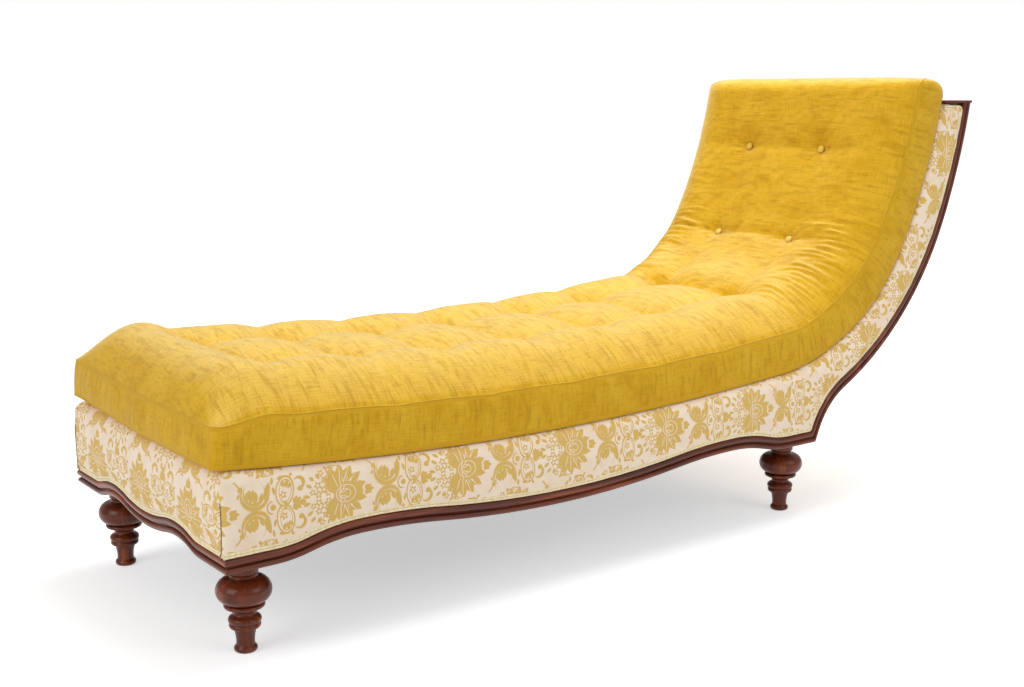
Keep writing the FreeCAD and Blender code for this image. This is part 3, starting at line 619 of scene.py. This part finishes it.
mahogany_tones = (rgb(74, 25, 7), rgb(132, 58, 25), rgb(186, 102, 54))
beech_tones = (rgb(176, 138, 98), rgb(205, 168, 126), rgb(222, 190, 150))
mahogany = {axis: wood("stained_mahogany_" + axis.lower(), axis, *mahogany_tones) for axis in "XYZ"}
beech = {axis: wood("plain_beech_" + axis.lower(), axis, *beech_tones, gloss=0.55, coat=0.0, worn=False)
         for axis in "XYZ"}
gold_velvet = velvet("gold_velvet", rgb(176, 128, 14), rgb(220, 170, 28), rgb(234, 192, 58), 0.0)
# A paler copy of the gold velvet: its lighter colours are a painted highlight on the buttons' domes.
painted_highlight_velvet = velvet("painted_highlight_velvet", rgb(214, 176, 66), rgb(232, 200, 92), rgb(242, 218, 130), 3.0)
figured = damask()
welt_cord = cord_material("welt_cord", rgb(255, 247, 220), rgb(244, 218, 150), 0.0042)
# Seam line: the dark brown stands for the seam's thread together with the painted shade in its groove.
seam_thread_and_shade = cord_material("seam_thread_and_shade", rgb(92, 66, 42), rgb(70, 48, 30), 0.002)
twine_cord = cord_material("twine_cord", rgb(214, 200, 168), rgb(190, 172, 134), 0.003)
jute = woven("jute_weave", rgb(158, 126, 82), rgb(186, 154, 106), 0.0022)
calico = woven("calico_weave", rgb(226, 216, 196), rgb(238, 230, 214), 0.0008, space="UV")
cambric = woven("cambric_weave", rgb(24, 24, 26), rgb(38, 38, 40), 0.0007, space="UV")
filling = woven("filling_fibre", rgb(176, 160, 128), rgb(204, 190, 160), 0.004, roughness=1.0)
steel_metal = steel()


# The mattress: a tufted top, a boxing all round it, and a flat underside
def half_at(s):
    """Half the mattress's width at length s, drawn in at its corners."""
    upper = smooth((s - bend - 0.1366) / 0.2)
    from_end = np.minimum(s, mattress_length - s)
    corner = mattress_corner * round_off(from_end, mattress_corner)
    return mattress_half - 0.003 * np.sin(math.pi * s / mattress_length) + 0.006 * upper - corner


def seam_at(s):
    """Height of the seam between boxing and top, rolled down behind the top end."""
    upper = smooth((s - bend - 0.1366) / 0.2)
    level = 0.072 + (0.020 + 0.004 * upper) * smooth(s / 0.11)
    return 0.046 + (level - 0.046) * (1 - round_off(mattress_length - s, top_roll))


def underside_at(s):
    """Height of the underside, which turns up at the top end."""
    return 0.0015 + 0.024 * np.clip(1 - (mattress_length - s) / 0.036, 0, 1) ** 2


def rounded(distance, reach, fullness):
    """0 at a seam and 1 from a reach inwards, as stuffed cloth rises."""
    share = np.clip(distance / reach, 0, 1)
    return fullness * (1 - round_off(distance, reach)) + (1 - fullness) * np.sin(share * math.pi / 2)


def crease(distance, width):
    """1 along a line, falling off on both sides in a rounded V."""
    return np.exp((0.006 - np.sqrt(distance ** 2 + 0.006 ** 2)) / width)


def top_height(s, w):
    """Height of the tufted top over the deck at length s and distance w across."""
    upper = smooth((s - bend - 0.12) / 0.2)
    half = half_at(s)
    seam = seam_at(s)
    ends = rounded(s, 0.110, 0.8) * rounded(mattress_length - s, 0.055, 0.9)
    rise = rounded(half - np.abs(w), 0.138 - 0.030 * upper, 0.16 + 0.30 * upper) * ends
    height = seam + (seat_crown + (back_crown - seat_crown) * upper - seam) * rise
    outer = np.clip((np.abs(w) - tuft_gauge) / (half - tuft_gauge), 0, 1)
    total = np.zeros_like(height)
    for row in seat_rows + back_rows:
        on_back = row > seat_rows[-1]
        across = cross_depth[on_back] * crease(s - row, cross_width[on_back])
        total = total + across * (1 - 0.86 * smooth(outer * 1.25))
        for side in (-tuft_gauge, tuft_gauge):
            away = np.hypot(s - row, w - side)
            total = total + button_pull[on_back] * np.exp(-(away / 0.027) ** 1.2)
    run = smooth((s - seat_rows[0] + 0.07) / 0.07) * smooth((back_rows[-1] + 0.07 - s) / 0.07)
    for side in (-tuft_gauge, tuft_gauge):
        depth = along_depth[0] + (along_depth[1] - along_depth[0]) * upper
        total = total + depth * run * crease(w - side, 0.042 - 0.006 * upper)
    height = height - total * ends
    return height + wrinkles(s, w) * rise


# Folds of each long edge at the bend: place along, inner end, slant, curve, height and width
folds = {side: [] for side in (-1, 1)}
for side in folds:
    place = 1.445
    while place < 1.99:
        strength = 1.0 if place < 1.84 else 0.5
        folds[side].append((place, rng.uniform(0.135, 0.225), rng.uniform(-0.10, 0.22),
                            rng.uniform(-0.9, 0.9), strength * rng.uniform(0.0030, 0.0066),
                            rng.uniform(0.0048, 0.0078)))
        place += rng.uniform(0.013, 0.027)


def wrinkles(s, w):
    """Crosswise folds at the bend near both long edges, puckers, and the cloth's own slight waves."""
    total = 0.0011 * ripple(s, w, 0.11) + 0.0005 * ripple(s, w, 0.035)
    for side, rows in folds.items():
        out = np.clip(side * w, 0, None)
        for place, inner, slant, curve, height, width in rows:
            line = place + slant * (out - 0.25) + curve * (out - 0.25) ** 2
            window = smooth((out - inner) / 0.06) * (1 - 0.85 * smooth((out - 0.272) / 0.05))
            total = total + height * window * np.exp(-((s - line) / width) ** 2)
    for row in seat_rows + back_rows:
        for side in (-tuft_gauge, tuft_gauge):
            away = np.hypot(s - row, w - side)
            turn = np.arctan2(w - side, s - row)
            swing = np.sin(turn * 9 + row * 40 + side * 60)
            total = total + 0.0016 * np.exp(-((away - 0.026) / 0.018) ** 2) * swing
    return total


def on_deck(s, w, n):
    """Places in the frame from length, distance across and height; the far foot corner curls up."""
    s, w, n = np.broadcast_arrays(s, w, n)
    lift = 0.012 * smooth(1 - s / 0.25) * smooth((w + 0.08) / 0.40)
    x, z = deck.at(s + mattress_start, n + lift)
    return np.stack([x, w, z], axis=-1)


def rim(grid):
    """The points round the edge of a grid."""
    return np.concatenate([grid[:, 0], grid[-1, 1:], grid[::-1, -1][1:], grid[0, ::-1][1:-1]])


def mattress():
    """The cover as one closed form, with its texture places in metres of cloth."""
    ends = np.array([0.0, 0.0006, 0.002, 0.0045, 0.008, 0.0125, 0.018])
    middle = np.linspace(0.023, mattress_length - 0.023, 210 * fine)
    stations = np.concatenate([ends, middle, (mattress_length - ends)[::-1]])
    per_strip = 5 * fine
    strips = 12
    columns = strips * per_strip + 1
    t = np.linspace(-1, 1, columns)
    t = 1.15 * t - 0.15 * t ** 3
    half = half_at(stations)
    s = stations[:, None]
    w = half[:, None] * t[None, :]
    top = top_height(s, w)
    rows = 9
    share = np.linspace(0, 1, rows + 2)[1:-1]
    low, seam = underside_at(stations), seam_at(stations)
    swell = 0.0065 * np.sin(math.pi * share) ** 0.7
    waves = 0.0012 * ripple(s, share[None, :] * 0.1, 0.09)
    side_w = half[:, None] + swell[None, :] + waves
    side_n = low[:, None] + (seam - low)[:, None] * share[None, :]
    under_w = half[:, None] * np.linspace(-1, 1, strips + 1)[None, :]
    rings = [on_deck(s, under_w, low[:, None]), on_deck(s, side_w, side_n),
             on_deck(s, w[:, ::-1], top[:, ::-1]), on_deck(s, -side_w[:, ::-1], side_n[:, ::-1])]
    flat = [np.broadcast_arrays(s, under_w + 2.0), np.broadcast_arrays(s, side_n + 1.0),
            np.broadcast_arrays(s, w[:, ::-1]), np.broadcast_arrays(s, side_n[:, ::-1] - 1.0)]
    points = np.concatenate(rings, axis=1)
    uv = np.concatenate([np.stack(pair, axis=-1) for pair in flat], axis=1)
    count = points.shape[1]
    far_side = strips + 1
    top_first = far_side + rows
    near_side = top_first + columns
    faces = grid_faces(len(stations), count, closed=True)
    points, uv = points.reshape(-1, 3), uv.reshape(-1, 2)
    sharp = []
    for index in (0, strips, top_first, near_side - 1):
        sharp += [(i * count + index, (i + 1) * count + index) for i in range(len(stations) - 1)]
    for first, outward in ((0, -1.0), ((len(stations) - 1) * count, 1.0)):
        end = stations[0] if first == 0 else stations[-1]
        cap_w = half_at(end) * t[1:-1]
        cap_share = share[:, None]
        cap_top = (top[0] if first == 0 else top[-1])[1:-1][None, :]
        cap_low = underside_at(end)
        cap_n = cap_low + (cap_top - cap_low) * cap_share
        level = 1 - np.abs(t[1:-1]) ** 6
        out = 0.006 * np.sin(math.pi * share)[:, None] ** 0.7 * level[None, :]
        out = out + 0.0010 * ripple(cap_w[None, :], cap_n, 0.08) * level[None, :]
        inner = on_deck(end + outward * out, cap_w[None, :], cap_n)
        base = len(points)
        points = np.concatenate([points, inner.reshape(-1, 3)])
        flat_uv = np.stack(np.broadcast_arrays(cap_w[None, :] + 5.0, cap_n + outward), axis=-1)
        uv = np.concatenate([uv, flat_uv.reshape(-1, 2)])

        def at(row, column):
            """Index of a cap point; row 0 is over the underside and the last row is the seam."""
            if row == rows + 1:
                return first + near_side - 1 - column
            if column == 0:
                return first + near_side + rows - row
            if column == columns - 1:
                return first + far_side + row - 1
            return base + (row - 1) * (columns - 2) + column - 1

        made = []
        for row in range(1, rows + 1):
            for column in range(columns - 1):
                made.append((at(row, column), at(row, column + 1),
                             at(row + 1, column + 1), at(row + 1, column)))
        for strip in range(strips):
            over = [at(1, strip * per_strip + step) for step in range(per_strip, -1, -1)]
            made.append((first + strip, first + strip + 1) + tuple(over))
        faces += flipped(made) if first == 0 else made
        sharp += [(at(rows + 1, column), at(rows + 1, column + 1)) for column in range(columns - 1)]
        sharp += [(first + strip, first + strip + 1) for strip in range(strips)]
    cover = make_piece("mattress_velvet", points, faces, uv, gold_velvet, sharp)
    pipes = [tube(rim(on_deck(s, w, level)), piping_radius, 8, closed=True) for level in (top, low[:, None])]
    piping = merged_piece("mattress_piping", pipes, gold_velvet)
    return cover, piping


def button(s, w, level):
    """A cloth-covered button: pleated under its rim, domed on top."""
    radius, height, around = 0.009, 0.007, 28
    profile = [(0.0, 0.0), (0.72, 0.0), (0.93, 0.12), (1.0, 0.32), (0.97, 0.55), (0.86, 0.76),
               (0.66, 0.9), (0.42, 0.97), (0.2, 1.0)]
    turn = np.linspace(0, 2 * math.pi, around, endpoint=False)
    heading = float(deck.heading(s + mattress_start))
    along = np.array([math.cos(heading), 0, math.sin(heading)])
    up = np.array([-math.sin(heading), 0, math.cos(heading)])
    centre = on_deck(s, w, level).reshape(3)
    points, uv = [], []
    for share, lift in profile[1:]:
        pleat = 1 + 0.02 * np.sin(turn * 14) * (lift < 0.5)
        reach = radius * share * pleat
        ring = centre + up * (height * lift) + reach[:, None] * (
            along * np.cos(turn)[:, None] + np.array([0, 1.0, 0]) * np.sin(turn)[:, None])
        points.append(ring)
        uv.append(np.stack([reach * np.cos(turn) + s, reach * np.sin(turn) + w], axis=-1))
    faces = grid_faces(len(points), around, closed=True)
    faces += [tuple(range(around))[::-1], tuple(range((len(points) - 1) * around, len(points) * around))]
    return np.concatenate(points), faces, np.concatenate(uv)


cover, piping = mattress()
gauge = (-tuft_gauge, tuft_gauge)
seat_buttons = [button(s, w, seat_button_level) for s in seat_rows for w in gauge]
back_buttons = [button(s, w, back_button_level) for s in back_rows for w in gauge]
# The buttons take the paler copy of the gold velvet, a painted highlight.
seat_set = merged_piece("seat_button_set", seat_buttons, painted_highlight_velvet)
back_set = merged_piece("back_button_set", back_buttons, painted_highlight_velvet)


# Damask panels, from the welt up the outside and over the rounded top edge
def edge_floor(x):
    """Height of the seat moulding's top edge under places x."""
    s = np.linspace(-0.02, bottom.length + 0.03, 1500)
    edge_x, edge_z = bottom.at(s, moulding_height)
    return np.interp(x, edge_x, edge_z)


def edge_side(z):
    """Place along X of the back moulding's inner edge at heights z."""
    s = np.linspace(-0.03, back.length + 0.02, 1500)
    edge_x, edge_z = back.at(s, moulding_height)
    return np.interp(z, edge_z, edge_x)


def drop_to_trim(x, z, dx, dz):
    """How far down each line from the deck meets the trim."""
    steps = np.linspace(0.01, 0.4, 1600)[None, :]
    px, pz = x[:, None] + dx[:, None] * steps, z[:, None] + dz[:, None] * steps
    outside = (pz < edge_floor(px)) | (px > edge_side(pz))
    return steps[0][np.argmax(outside, axis=1)]


def side_panel(name, side):
    """The band of one long side, stuffed out a little between the welt and its rounded top."""
    top_s = length_where(deck, 1, under_cap, 1.4, 800)
    s = np.concatenate([[corner_gap, 0.0034, 0.0055, 0.009, 0.014], np.linspace(0.02, top_s, 260 * fine)])
    heading = deck.heading(s)
    lean = heading * smooth((s - 0.1) / 0.5)
    dx, dz = np.sin(lean), -np.cos(lean)
    start_x, start_z = deck.at(s, -roll_radius)
    reach = drop_to_trim(start_x, start_z, dx, dz)
    v = np.linspace(0, 1, panel_rows)[None, :]
    x = start_x[:, None] + dx[:, None] * reach[:, None] * (1 - v)
    z = start_z[:, None] + dz[:, None] * reach[:, None] * (1 - v)
    z = np.minimum(z, under_cap)
    base = smooth(v / 0.10)
    swell = np.sin(math.pi * np.clip(v * 0.98, 0, 1)) ** 0.8
    out = panel_base + (panel_out - panel_base) * base + panel_bulge * swell
    gather = smooth((v - 0.55) / 0.45) * (0.0012 * ripple(x, z * 0.25, 0.035))
    out = out + gather + 0.0006 * ripple(x, z, 0.09)
    out = out - 0.010 * round_off(s[:, None] - 0.002, 0.014)
    turn = np.radians(np.linspace(0, 90, 9 * fine))[None, 1:]
    lift = roll_radius * np.sin(turn)
    inward = roll_radius * (1 - np.cos(turn))
    roll_x, roll_z = deck.at(np.maximum(s[:, None], corner_gap + inward), -roll_radius + lift - 0.0006)
    top_out = out[:, -1][:, None]
    roll_out = top_out - inward
    flat_in = np.linspace(0.004, 0.024, 4)[None, :]
    flat_s = np.maximum(s[:, None], corner_gap + roll_radius + flat_in)
    flat_x, flat_z = deck.at(flat_s, -0.0006 - 0.01 * flat_in)
    flat_out = roll_out[:, -1][:, None] - flat_in
    xs = np.concatenate([x, roll_x, flat_x], axis=1)
    zs = np.minimum(np.concatenate([z, roll_z, flat_z], axis=1), under_cap)
    outs = np.concatenate([out, roll_out, flat_out], axis=1)
    points = np.stack([xs, side * (rail_face + outs), zs], axis=-1)
    extra = np.concatenate([roll_radius * turn, roll_radius * turn[:, -1:] + flat_in], axis=1)
    cloth_x = np.concatenate([x, x[:, -1:] - dx[:, None] * extra], axis=1)
    cloth_z = np.concatenate([z, z[:, -1:] - dz[:, None] * extra], axis=1)
    uv = np.stack([cloth_x, cloth_z], axis=-1)
    faces = grid_faces(points.shape[0], points.shape[1])
    made = make_piece(name, points, faces if side > 0 else flipped(faces), uv, figured)
    return thicken(made, panel_thickness)


def foot_panel():
    """The foot end's panel, drawn in at the welt and rounded over at the top."""
    edge = rail_face + panel_out - corner_gap
    share = np.linspace(-1, 1, 150 * fine)
    y = edge * (0.25 * np.sin(share * math.pi / 2) + 0.75 * share)
    edge_y, edge_z = foot_edge.at(np.linspace(0, foot_edge.length, 900), moulding_height)
    low = np.interp(y, edge_y, edge_z)
    roll_x = foot_end + moulding_depth + 0.013
    high = float(np.interp(roll_x, *deck.at(np.linspace(0, 0.2, 400), -roll_radius)))
    v = np.linspace(0, 1, 18 * fine)[None, :]
    z = low[:, None] + (high - low[:, None]) * v
    base = smooth(v / 0.12)
    swell = np.sin(math.pi * np.clip(v * 0.97, 0, 1)) ** 0.7
    out = panel_base - 0.002 + (panel_out - panel_base + 0.002) * base + 0.0062 * swell
    gather = smooth((v - 0.4) / 0.6) * 0.0011 * ripple(y[:, None] + 0.35 * z, z * 0.2, 0.036)
    out = out + gather + 0.0006 * ripple(y[:, None], z, 0.09)
    out = out - 0.010 * round_off(edge - np.abs(y)[:, None], 0.014)
    turn = np.radians(np.linspace(0, 88, 9 * fine))[None, 1:]
    roll_out = out[:, -1][:, None] - roll_radius * (1 - np.cos(turn))
    roll_z = high + roll_radius * np.sin(turn) - 0.0008 + 0 * roll_out
    flat_in = np.linspace(0.004, 0.024, 4)[None, :]
    flat_out = roll_out[:, -1][:, None] - flat_in
    flat_z = roll_z[:, -1][:, None] - 0.105 * flat_in
    outs = np.concatenate([out, roll_out, flat_out], axis=1)
    zs = np.concatenate([z, roll_z, flat_z], axis=1)
    inset = np.concatenate([0 * v, roll_radius * (1 - np.cos(turn)), roll_radius + flat_in], axis=1)
    ys = y[:, None] * (edge - inset) / edge
    points = np.stack([foot_end + moulding_depth - outs, ys, zs], axis=-1)
    cloth_z = np.concatenate([z, high + roll_radius * turn + 0 * roll_out,
                              high + roll_radius * turn[:, -1:] + flat_in + 0 * flat_out], axis=1)
    uv = np.stack([cloth_z + 0.02, ys + 0.055], axis=-1)
    made = make_piece("foot_end_damask", points, grid_faces(*zs.shape), uv, figured)
    return thicken(made, panel_thickness)


def outside_back():
    """Damask over the outside of the back, drawn tight between the mouldings."""
    s = np.linspace(0.006, float(length_where(back, 1, cap_bottom - 0.001, 0.5, 600)), 170)
    half = rail_face - 0.003
    w = np.linspace(-half, half, 110)
    near_edge = smooth((half - np.abs(w)) / 0.03)[None, :]
    n = 0.0009 - 0.0022 * near_edge * np.sin(math.pi * (s - s[0]) / (s[-1] - s[0]))[:, None] ** 0.5
    n = n + 0.0004 * ripple(s[:, None], w[None, :], 0.12) * near_edge
    x, z = back.at(s[:, None] + 0 * n, n)
    made = cloth("outside_back_damask", (x, w[None, :], np.minimum(z, cap_bottom - 0.0003)),
                 (s[:, None], w[None, :] + 0.055), grid_faces(*x.shape), figured, 0.0012)
    return made, (2 * half, float(s[-1] - s[0]))


def deck_layer(name, level, thickness, half, start, material, lumps):
    """One layer that lies over the deck, from its top's height under the mattress."""
    s = np.linspace(start, deck.length - 0.012, 150)
    w = np.linspace(-half, half, 70)
    sag = lumps * (np.abs(ripple(s[:, None], w[None, :], 0.14)) + 0.2)
    x, z = deck.at(s[:, None] + 0 * sag, level - sag)
    made = cloth(name, (x, w[None, :], np.minimum(z, cap_bottom - 0.0006)), (s[:, None], w[None, :]),
                 flipped(grid_faces(*x.shape)), material, thickness)
    return made, (2 * half, float(s[-1] - s[0]))


def dust_sheet():
    """Thin black cloth under the seat, sagging a little between its tacked edges."""
    low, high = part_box("dust_cover")
    x, w = np.linspace(low[0], high[0], 120), np.linspace(low[1], high[1], 60)
    edge_z = bottom.at(length_where(bottom, 0, x, 0, 800), 0.001)[1]
    inner = (1 - (w / w[-1]) ** 8)[None, :] * (1 - np.linspace(-1, 1, 120) ** 12)[:, None]
    z = edge_z[:, None] + inner * (0.004 + 0.0015 * ripple(x[:, None], w[None, :], 0.2))
    feet = [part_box(name) for name in nodes if name.endswith("_foot")]
    keep = []
    for face in grid_faces(120, 60):
        middle_x, middle_w = x[np.array(face) // 60].mean(), w[np.array(face) % 60].mean()
        away = [math.hypot(middle_x - (a[0] + b[0]) / 2, middle_w - (a[1] + b[1]) / 2) for a, b in feet]
        if min(away) > foot_hole:
            keep.append(face)
    made = cloth("dust_cloth", (x[:, None], w[None, :], z), (x[:, None], w[None, :]), keep, cambric, 0.0008)
    return made, (float(high[1] - low[1]), float(bottom.length * (high[0] - low[0]) / seat_length))


front_panel = side_panel("front_side_damask", -1)
rear_panel = side_panel("rear_side_damask", 1)
foot_end_panel = foot_panel()
outside, outside_flat = outside_back()
deck_half = rail_face + panel_out - roll_radius - 0.030
platform, platform_flat = deck_layer("deck_platform_cloth", -0.0012, 0.0010, deck_half, 0.034, calico, 0.0012)
pad, _ = deck_layer("deck_pad", -0.0046, 0.0165, deck_half - 0.004, 0.045, filling, 0.0004)
hessian, hessian_flat = deck_layer("deck_hessian_cloth", -0.0228, 0.0010, deck_half, 0.03, jute, 0.0001)
dust, dust_flat = dust_sheet()


# Double welt over every joint of cloth and show wood
def trim_path(level):
    """Path of one cord of a long side: along the seat, round the lower corner and up the back."""
    x, z = bottom.at(np.linspace(0.0, bottom.length, 380), level)
    bx, bz = back.at(np.linspace(0.0, back.length, 260), level)
    before = x < np.interp(z, bz, bx)
    seat = np.stack([x[before], z[before]], axis=-1)
    above = bz > np.interp(bx, x, z)
    top = cap_bottom - level + moulding_height - 2.2 * welt_radius
    rise = np.stack([bx[above], bz[above]], axis=-1)
    rise = rise[rise[:, 1] < top - 0.008]
    end_x, end_z = rise[-1]
    deck_x, deck_z = deck.at(np.linspace(1.5, deck.length, 400), -0.004)
    stop_x = float(np.interp(top, deck_z, deck_x))
    turn = np.radians(np.linspace(10, 90, 7))
    bend_up = top - end_z
    bow = np.stack([end_x - bend_up * (1 - np.cos(turn)), end_z + bend_up * np.sin(turn)], axis=-1)
    run = np.stack([np.linspace(bow[-1][0] - 0.003, stop_x, 18), np.full(18, top)], axis=-1)
    return np.concatenate([seat, rise, bow, run])


def welts(side):
    """Both cords of one long side."""
    parts = []
    for cord in cords:
        flat = trim_path(moulding_height + cord * welt_radius)
        out = rail_face + welt_out + 0.0004 * ripple(flat[:, 0], flat[:, 1], 0.05)
        path = np.stack([flat[:, 0], side * out, flat[:, 1]], axis=-1)
        parts.append(tube(path, welt_radius))
    return parts


def foot_welts():
    parts = []
    for cord in cords:
        y, z = foot_edge.at(np.linspace(0, foot_edge.length, 260), moulding_height + cord * welt_radius)
        inside = np.abs(y) < rail_face + welt_out
        x = foot_end + moulding_depth - welt_out
        path = np.stack([np.full(inside.sum(), x), y[inside], z[inside]], axis=-1)
        parts.append(tube(path, welt_radius))
    return parts


front_welt = merged_piece("front_double_welt", welts(-1), welt_cord)
rear_welt = merged_piece("rear_double_welt", welts(1), welt_cord)
foot_welt = merged_piece("foot_end_double_welt", foot_welts(), welt_cord)


def corner_seam(panel, side):
    """A dark line down the first edge of a side panel: the seam, with the shade of its groove painted into
    its dark colour.
    """
    count = panel_rows
    edge = np.array([vertex.co for vertex in panel.data.vertices[:count]])[:int(count * 0.82)]
    return tube(edge + np.array([-0.0003, side * 0.0003, 0.0]), 0.0007, 8)


seam_tubes = [corner_seam(front_panel, -1), corner_seam(rear_panel, 1)]
seams = merged_piece("corner_seam_and_shade", seam_tubes, seam_thread_and_shade)

# Bodies and replaced nodes
for piece in (cover, piping, seat_set, back_set):
    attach(piece, "mattress")
for piece in (front_panel, rear_panel, foot_end_panel, outside, platform, pad, hessian, dust,
              front_welt, rear_welt, foot_welt, seams):
    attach(piece, "couch")
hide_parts("mattress_cover", "mattress_core")
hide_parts("seat_buttons")
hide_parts("back_buttons")
for side, panel, welt in (("front", front_panel, front_welt), ("rear", rear_panel, rear_welt)):
    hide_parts(side + "_side_cover", side + "_side_stuffing")
    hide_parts(side + "_seat_welt", side + "_back_welt")
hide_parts("foot_end_cover", "foot_end_stuffing")
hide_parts("foot_end_welt")
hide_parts("outside_back_cover")
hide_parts("deck_cover")
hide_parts("deck_stuffing")
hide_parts("deck_hessian")
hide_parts("dust_cover")


# Finishes of the carried-over nodes
finishes = {"webbing": jute, "twines": twine_cord, "washers": steel_metal, "screws": steel_metal,
            "dowels": beech["Y"], "side_rail": beech["X"], "knee": beech["X"], "back_post": beech["Z"],
            "corner_block": beech["Z"], "foot_end_moulding": mahogany["Y"], "seat_moulding": mahogany["X"],
            "back_moulding": mahogany["Z"], "crest_cap": mahogany["Y"], "_foot": mahogany["Z"],
            "rail": beech["Y"], "stretcher": beech["Y"]}
for name, node in nodes.items():
    for ending, material in finishes.items():
        if ending in name:
            if node.material_slots:
                for slot in node.material_slots:
                    slot.material = material
            else:
                node.data.materials.append(material)
            break


# Floor, backdrop, light and camera
def stage_material(name, colour, near_glow, far_glow):
    """A pale surface that keeps shadows and runs out to white for the camera and in reflections."""
    g = Graph(name)
    paths = g.node("LightPath")
    seen = g.math("MAXIMUM", paths.outputs["Is Camera Ray"], paths.outputs["Is Glossy Ray"])
    seen = g.math("MAXIMUM", seen, paths.outputs["Is Transmission Ray"])
    away = g.vector("LENGTH", g.node("TexCoord").outputs["Object"], output=1)
    glow = g.ramp(away, 1.4, 4.5, near_glow, far_glow, smoothly=True)
    matt = g.node("BsdfDiffuse", {"Color": colour})
    light = g.node("Emission", {"Color": (1, 1, 1, 1), "Strength": g.math("MULTIPLY", seen, glow)})
    return g.end(g.node("AddShader", {0: matt.outputs[0], 1: light.outputs[0]}).outputs[0])


floor_mesh = bpy.data.meshes.new("floor")
floor_mesh.from_pydata([(-14, -14, 0), (14, -14, 0), (14, 14, 0), (-14, 14, 0)], [], [(0, 1, 2, 3)])
floor_mesh.materials.append(stage_material("floor", (0.8, 0.8, 0.8, 1), 0.50, 0.97))
floor = bpy.data.objects.new("floor", floor_mesh)
bpy.context.scene.collection.objects.link(floor)

g = Graph("studio", bpy.data.worlds)
paths = g.node("LightPath")
seen = g.math("MAXIMUM", paths.outputs["Is Camera Ray"], paths.outputs["Is Transmission Ray"])
strength = g.ramp(seen, 0.0, 1.0, 0.45, 1.0)
background = g.node("Background", {"Color": (1, 1, 1, 1), "Strength": strength})
bpy.context.scene.world = g.end(background.outputs[0], "World")


def lamp(name, place, target, size, power):
    data = bpy.data.lights.new(name, "AREA")
    data.shape = "RECTANGLE"
    data.size, data.size_y = size
    data.energy = power
    made = bpy.data.objects.new(name, data)
    made.location = place
    made.rotation_euler = (Vector(target) - Vector(place)).to_track_quat("-Z", "Y").to_euler()
    bpy.context.scene.collection.objects.link(made)


lamp("overhead", (0.7, 0.3, 2.9), (0.0, 0.0, 0.3), (2.4, 2.2), 72)
lamp("front_fill", (1.2, -3.4, 2.2), (0.1, 0.0, 0.4), (2.4, 2.0), 26)
lamp("left_fill", (-3.8, -0.6, 2.0), (0.0, 0.0, 0.4), (2.2, 2.2), 41)

camera_data = bpy.data.cameras.new("camera")
camera_data.lens = 47.40
camera_data.sensor_width = 36.0
camera = bpy.data.objects.new("camera", camera_data)
yaw, pitch = math.radians(53.019), math.radians(-10.397)
forward = Vector((math.cos(pitch) * math.cos(yaw), math.cos(pitch) * math.sin(yaw), math.sin(pitch)))
camera.location = (-1.8656, -2.3025, 0.940)
camera.rotation_euler = forward.to_track_quat("-Z", "Y").to_euler()
bpy.context.scene.collection.objects.link(camera)
bpy.context.scene.camera = camera
bpy.context.scene.view_settings.view_transform = "Standard"
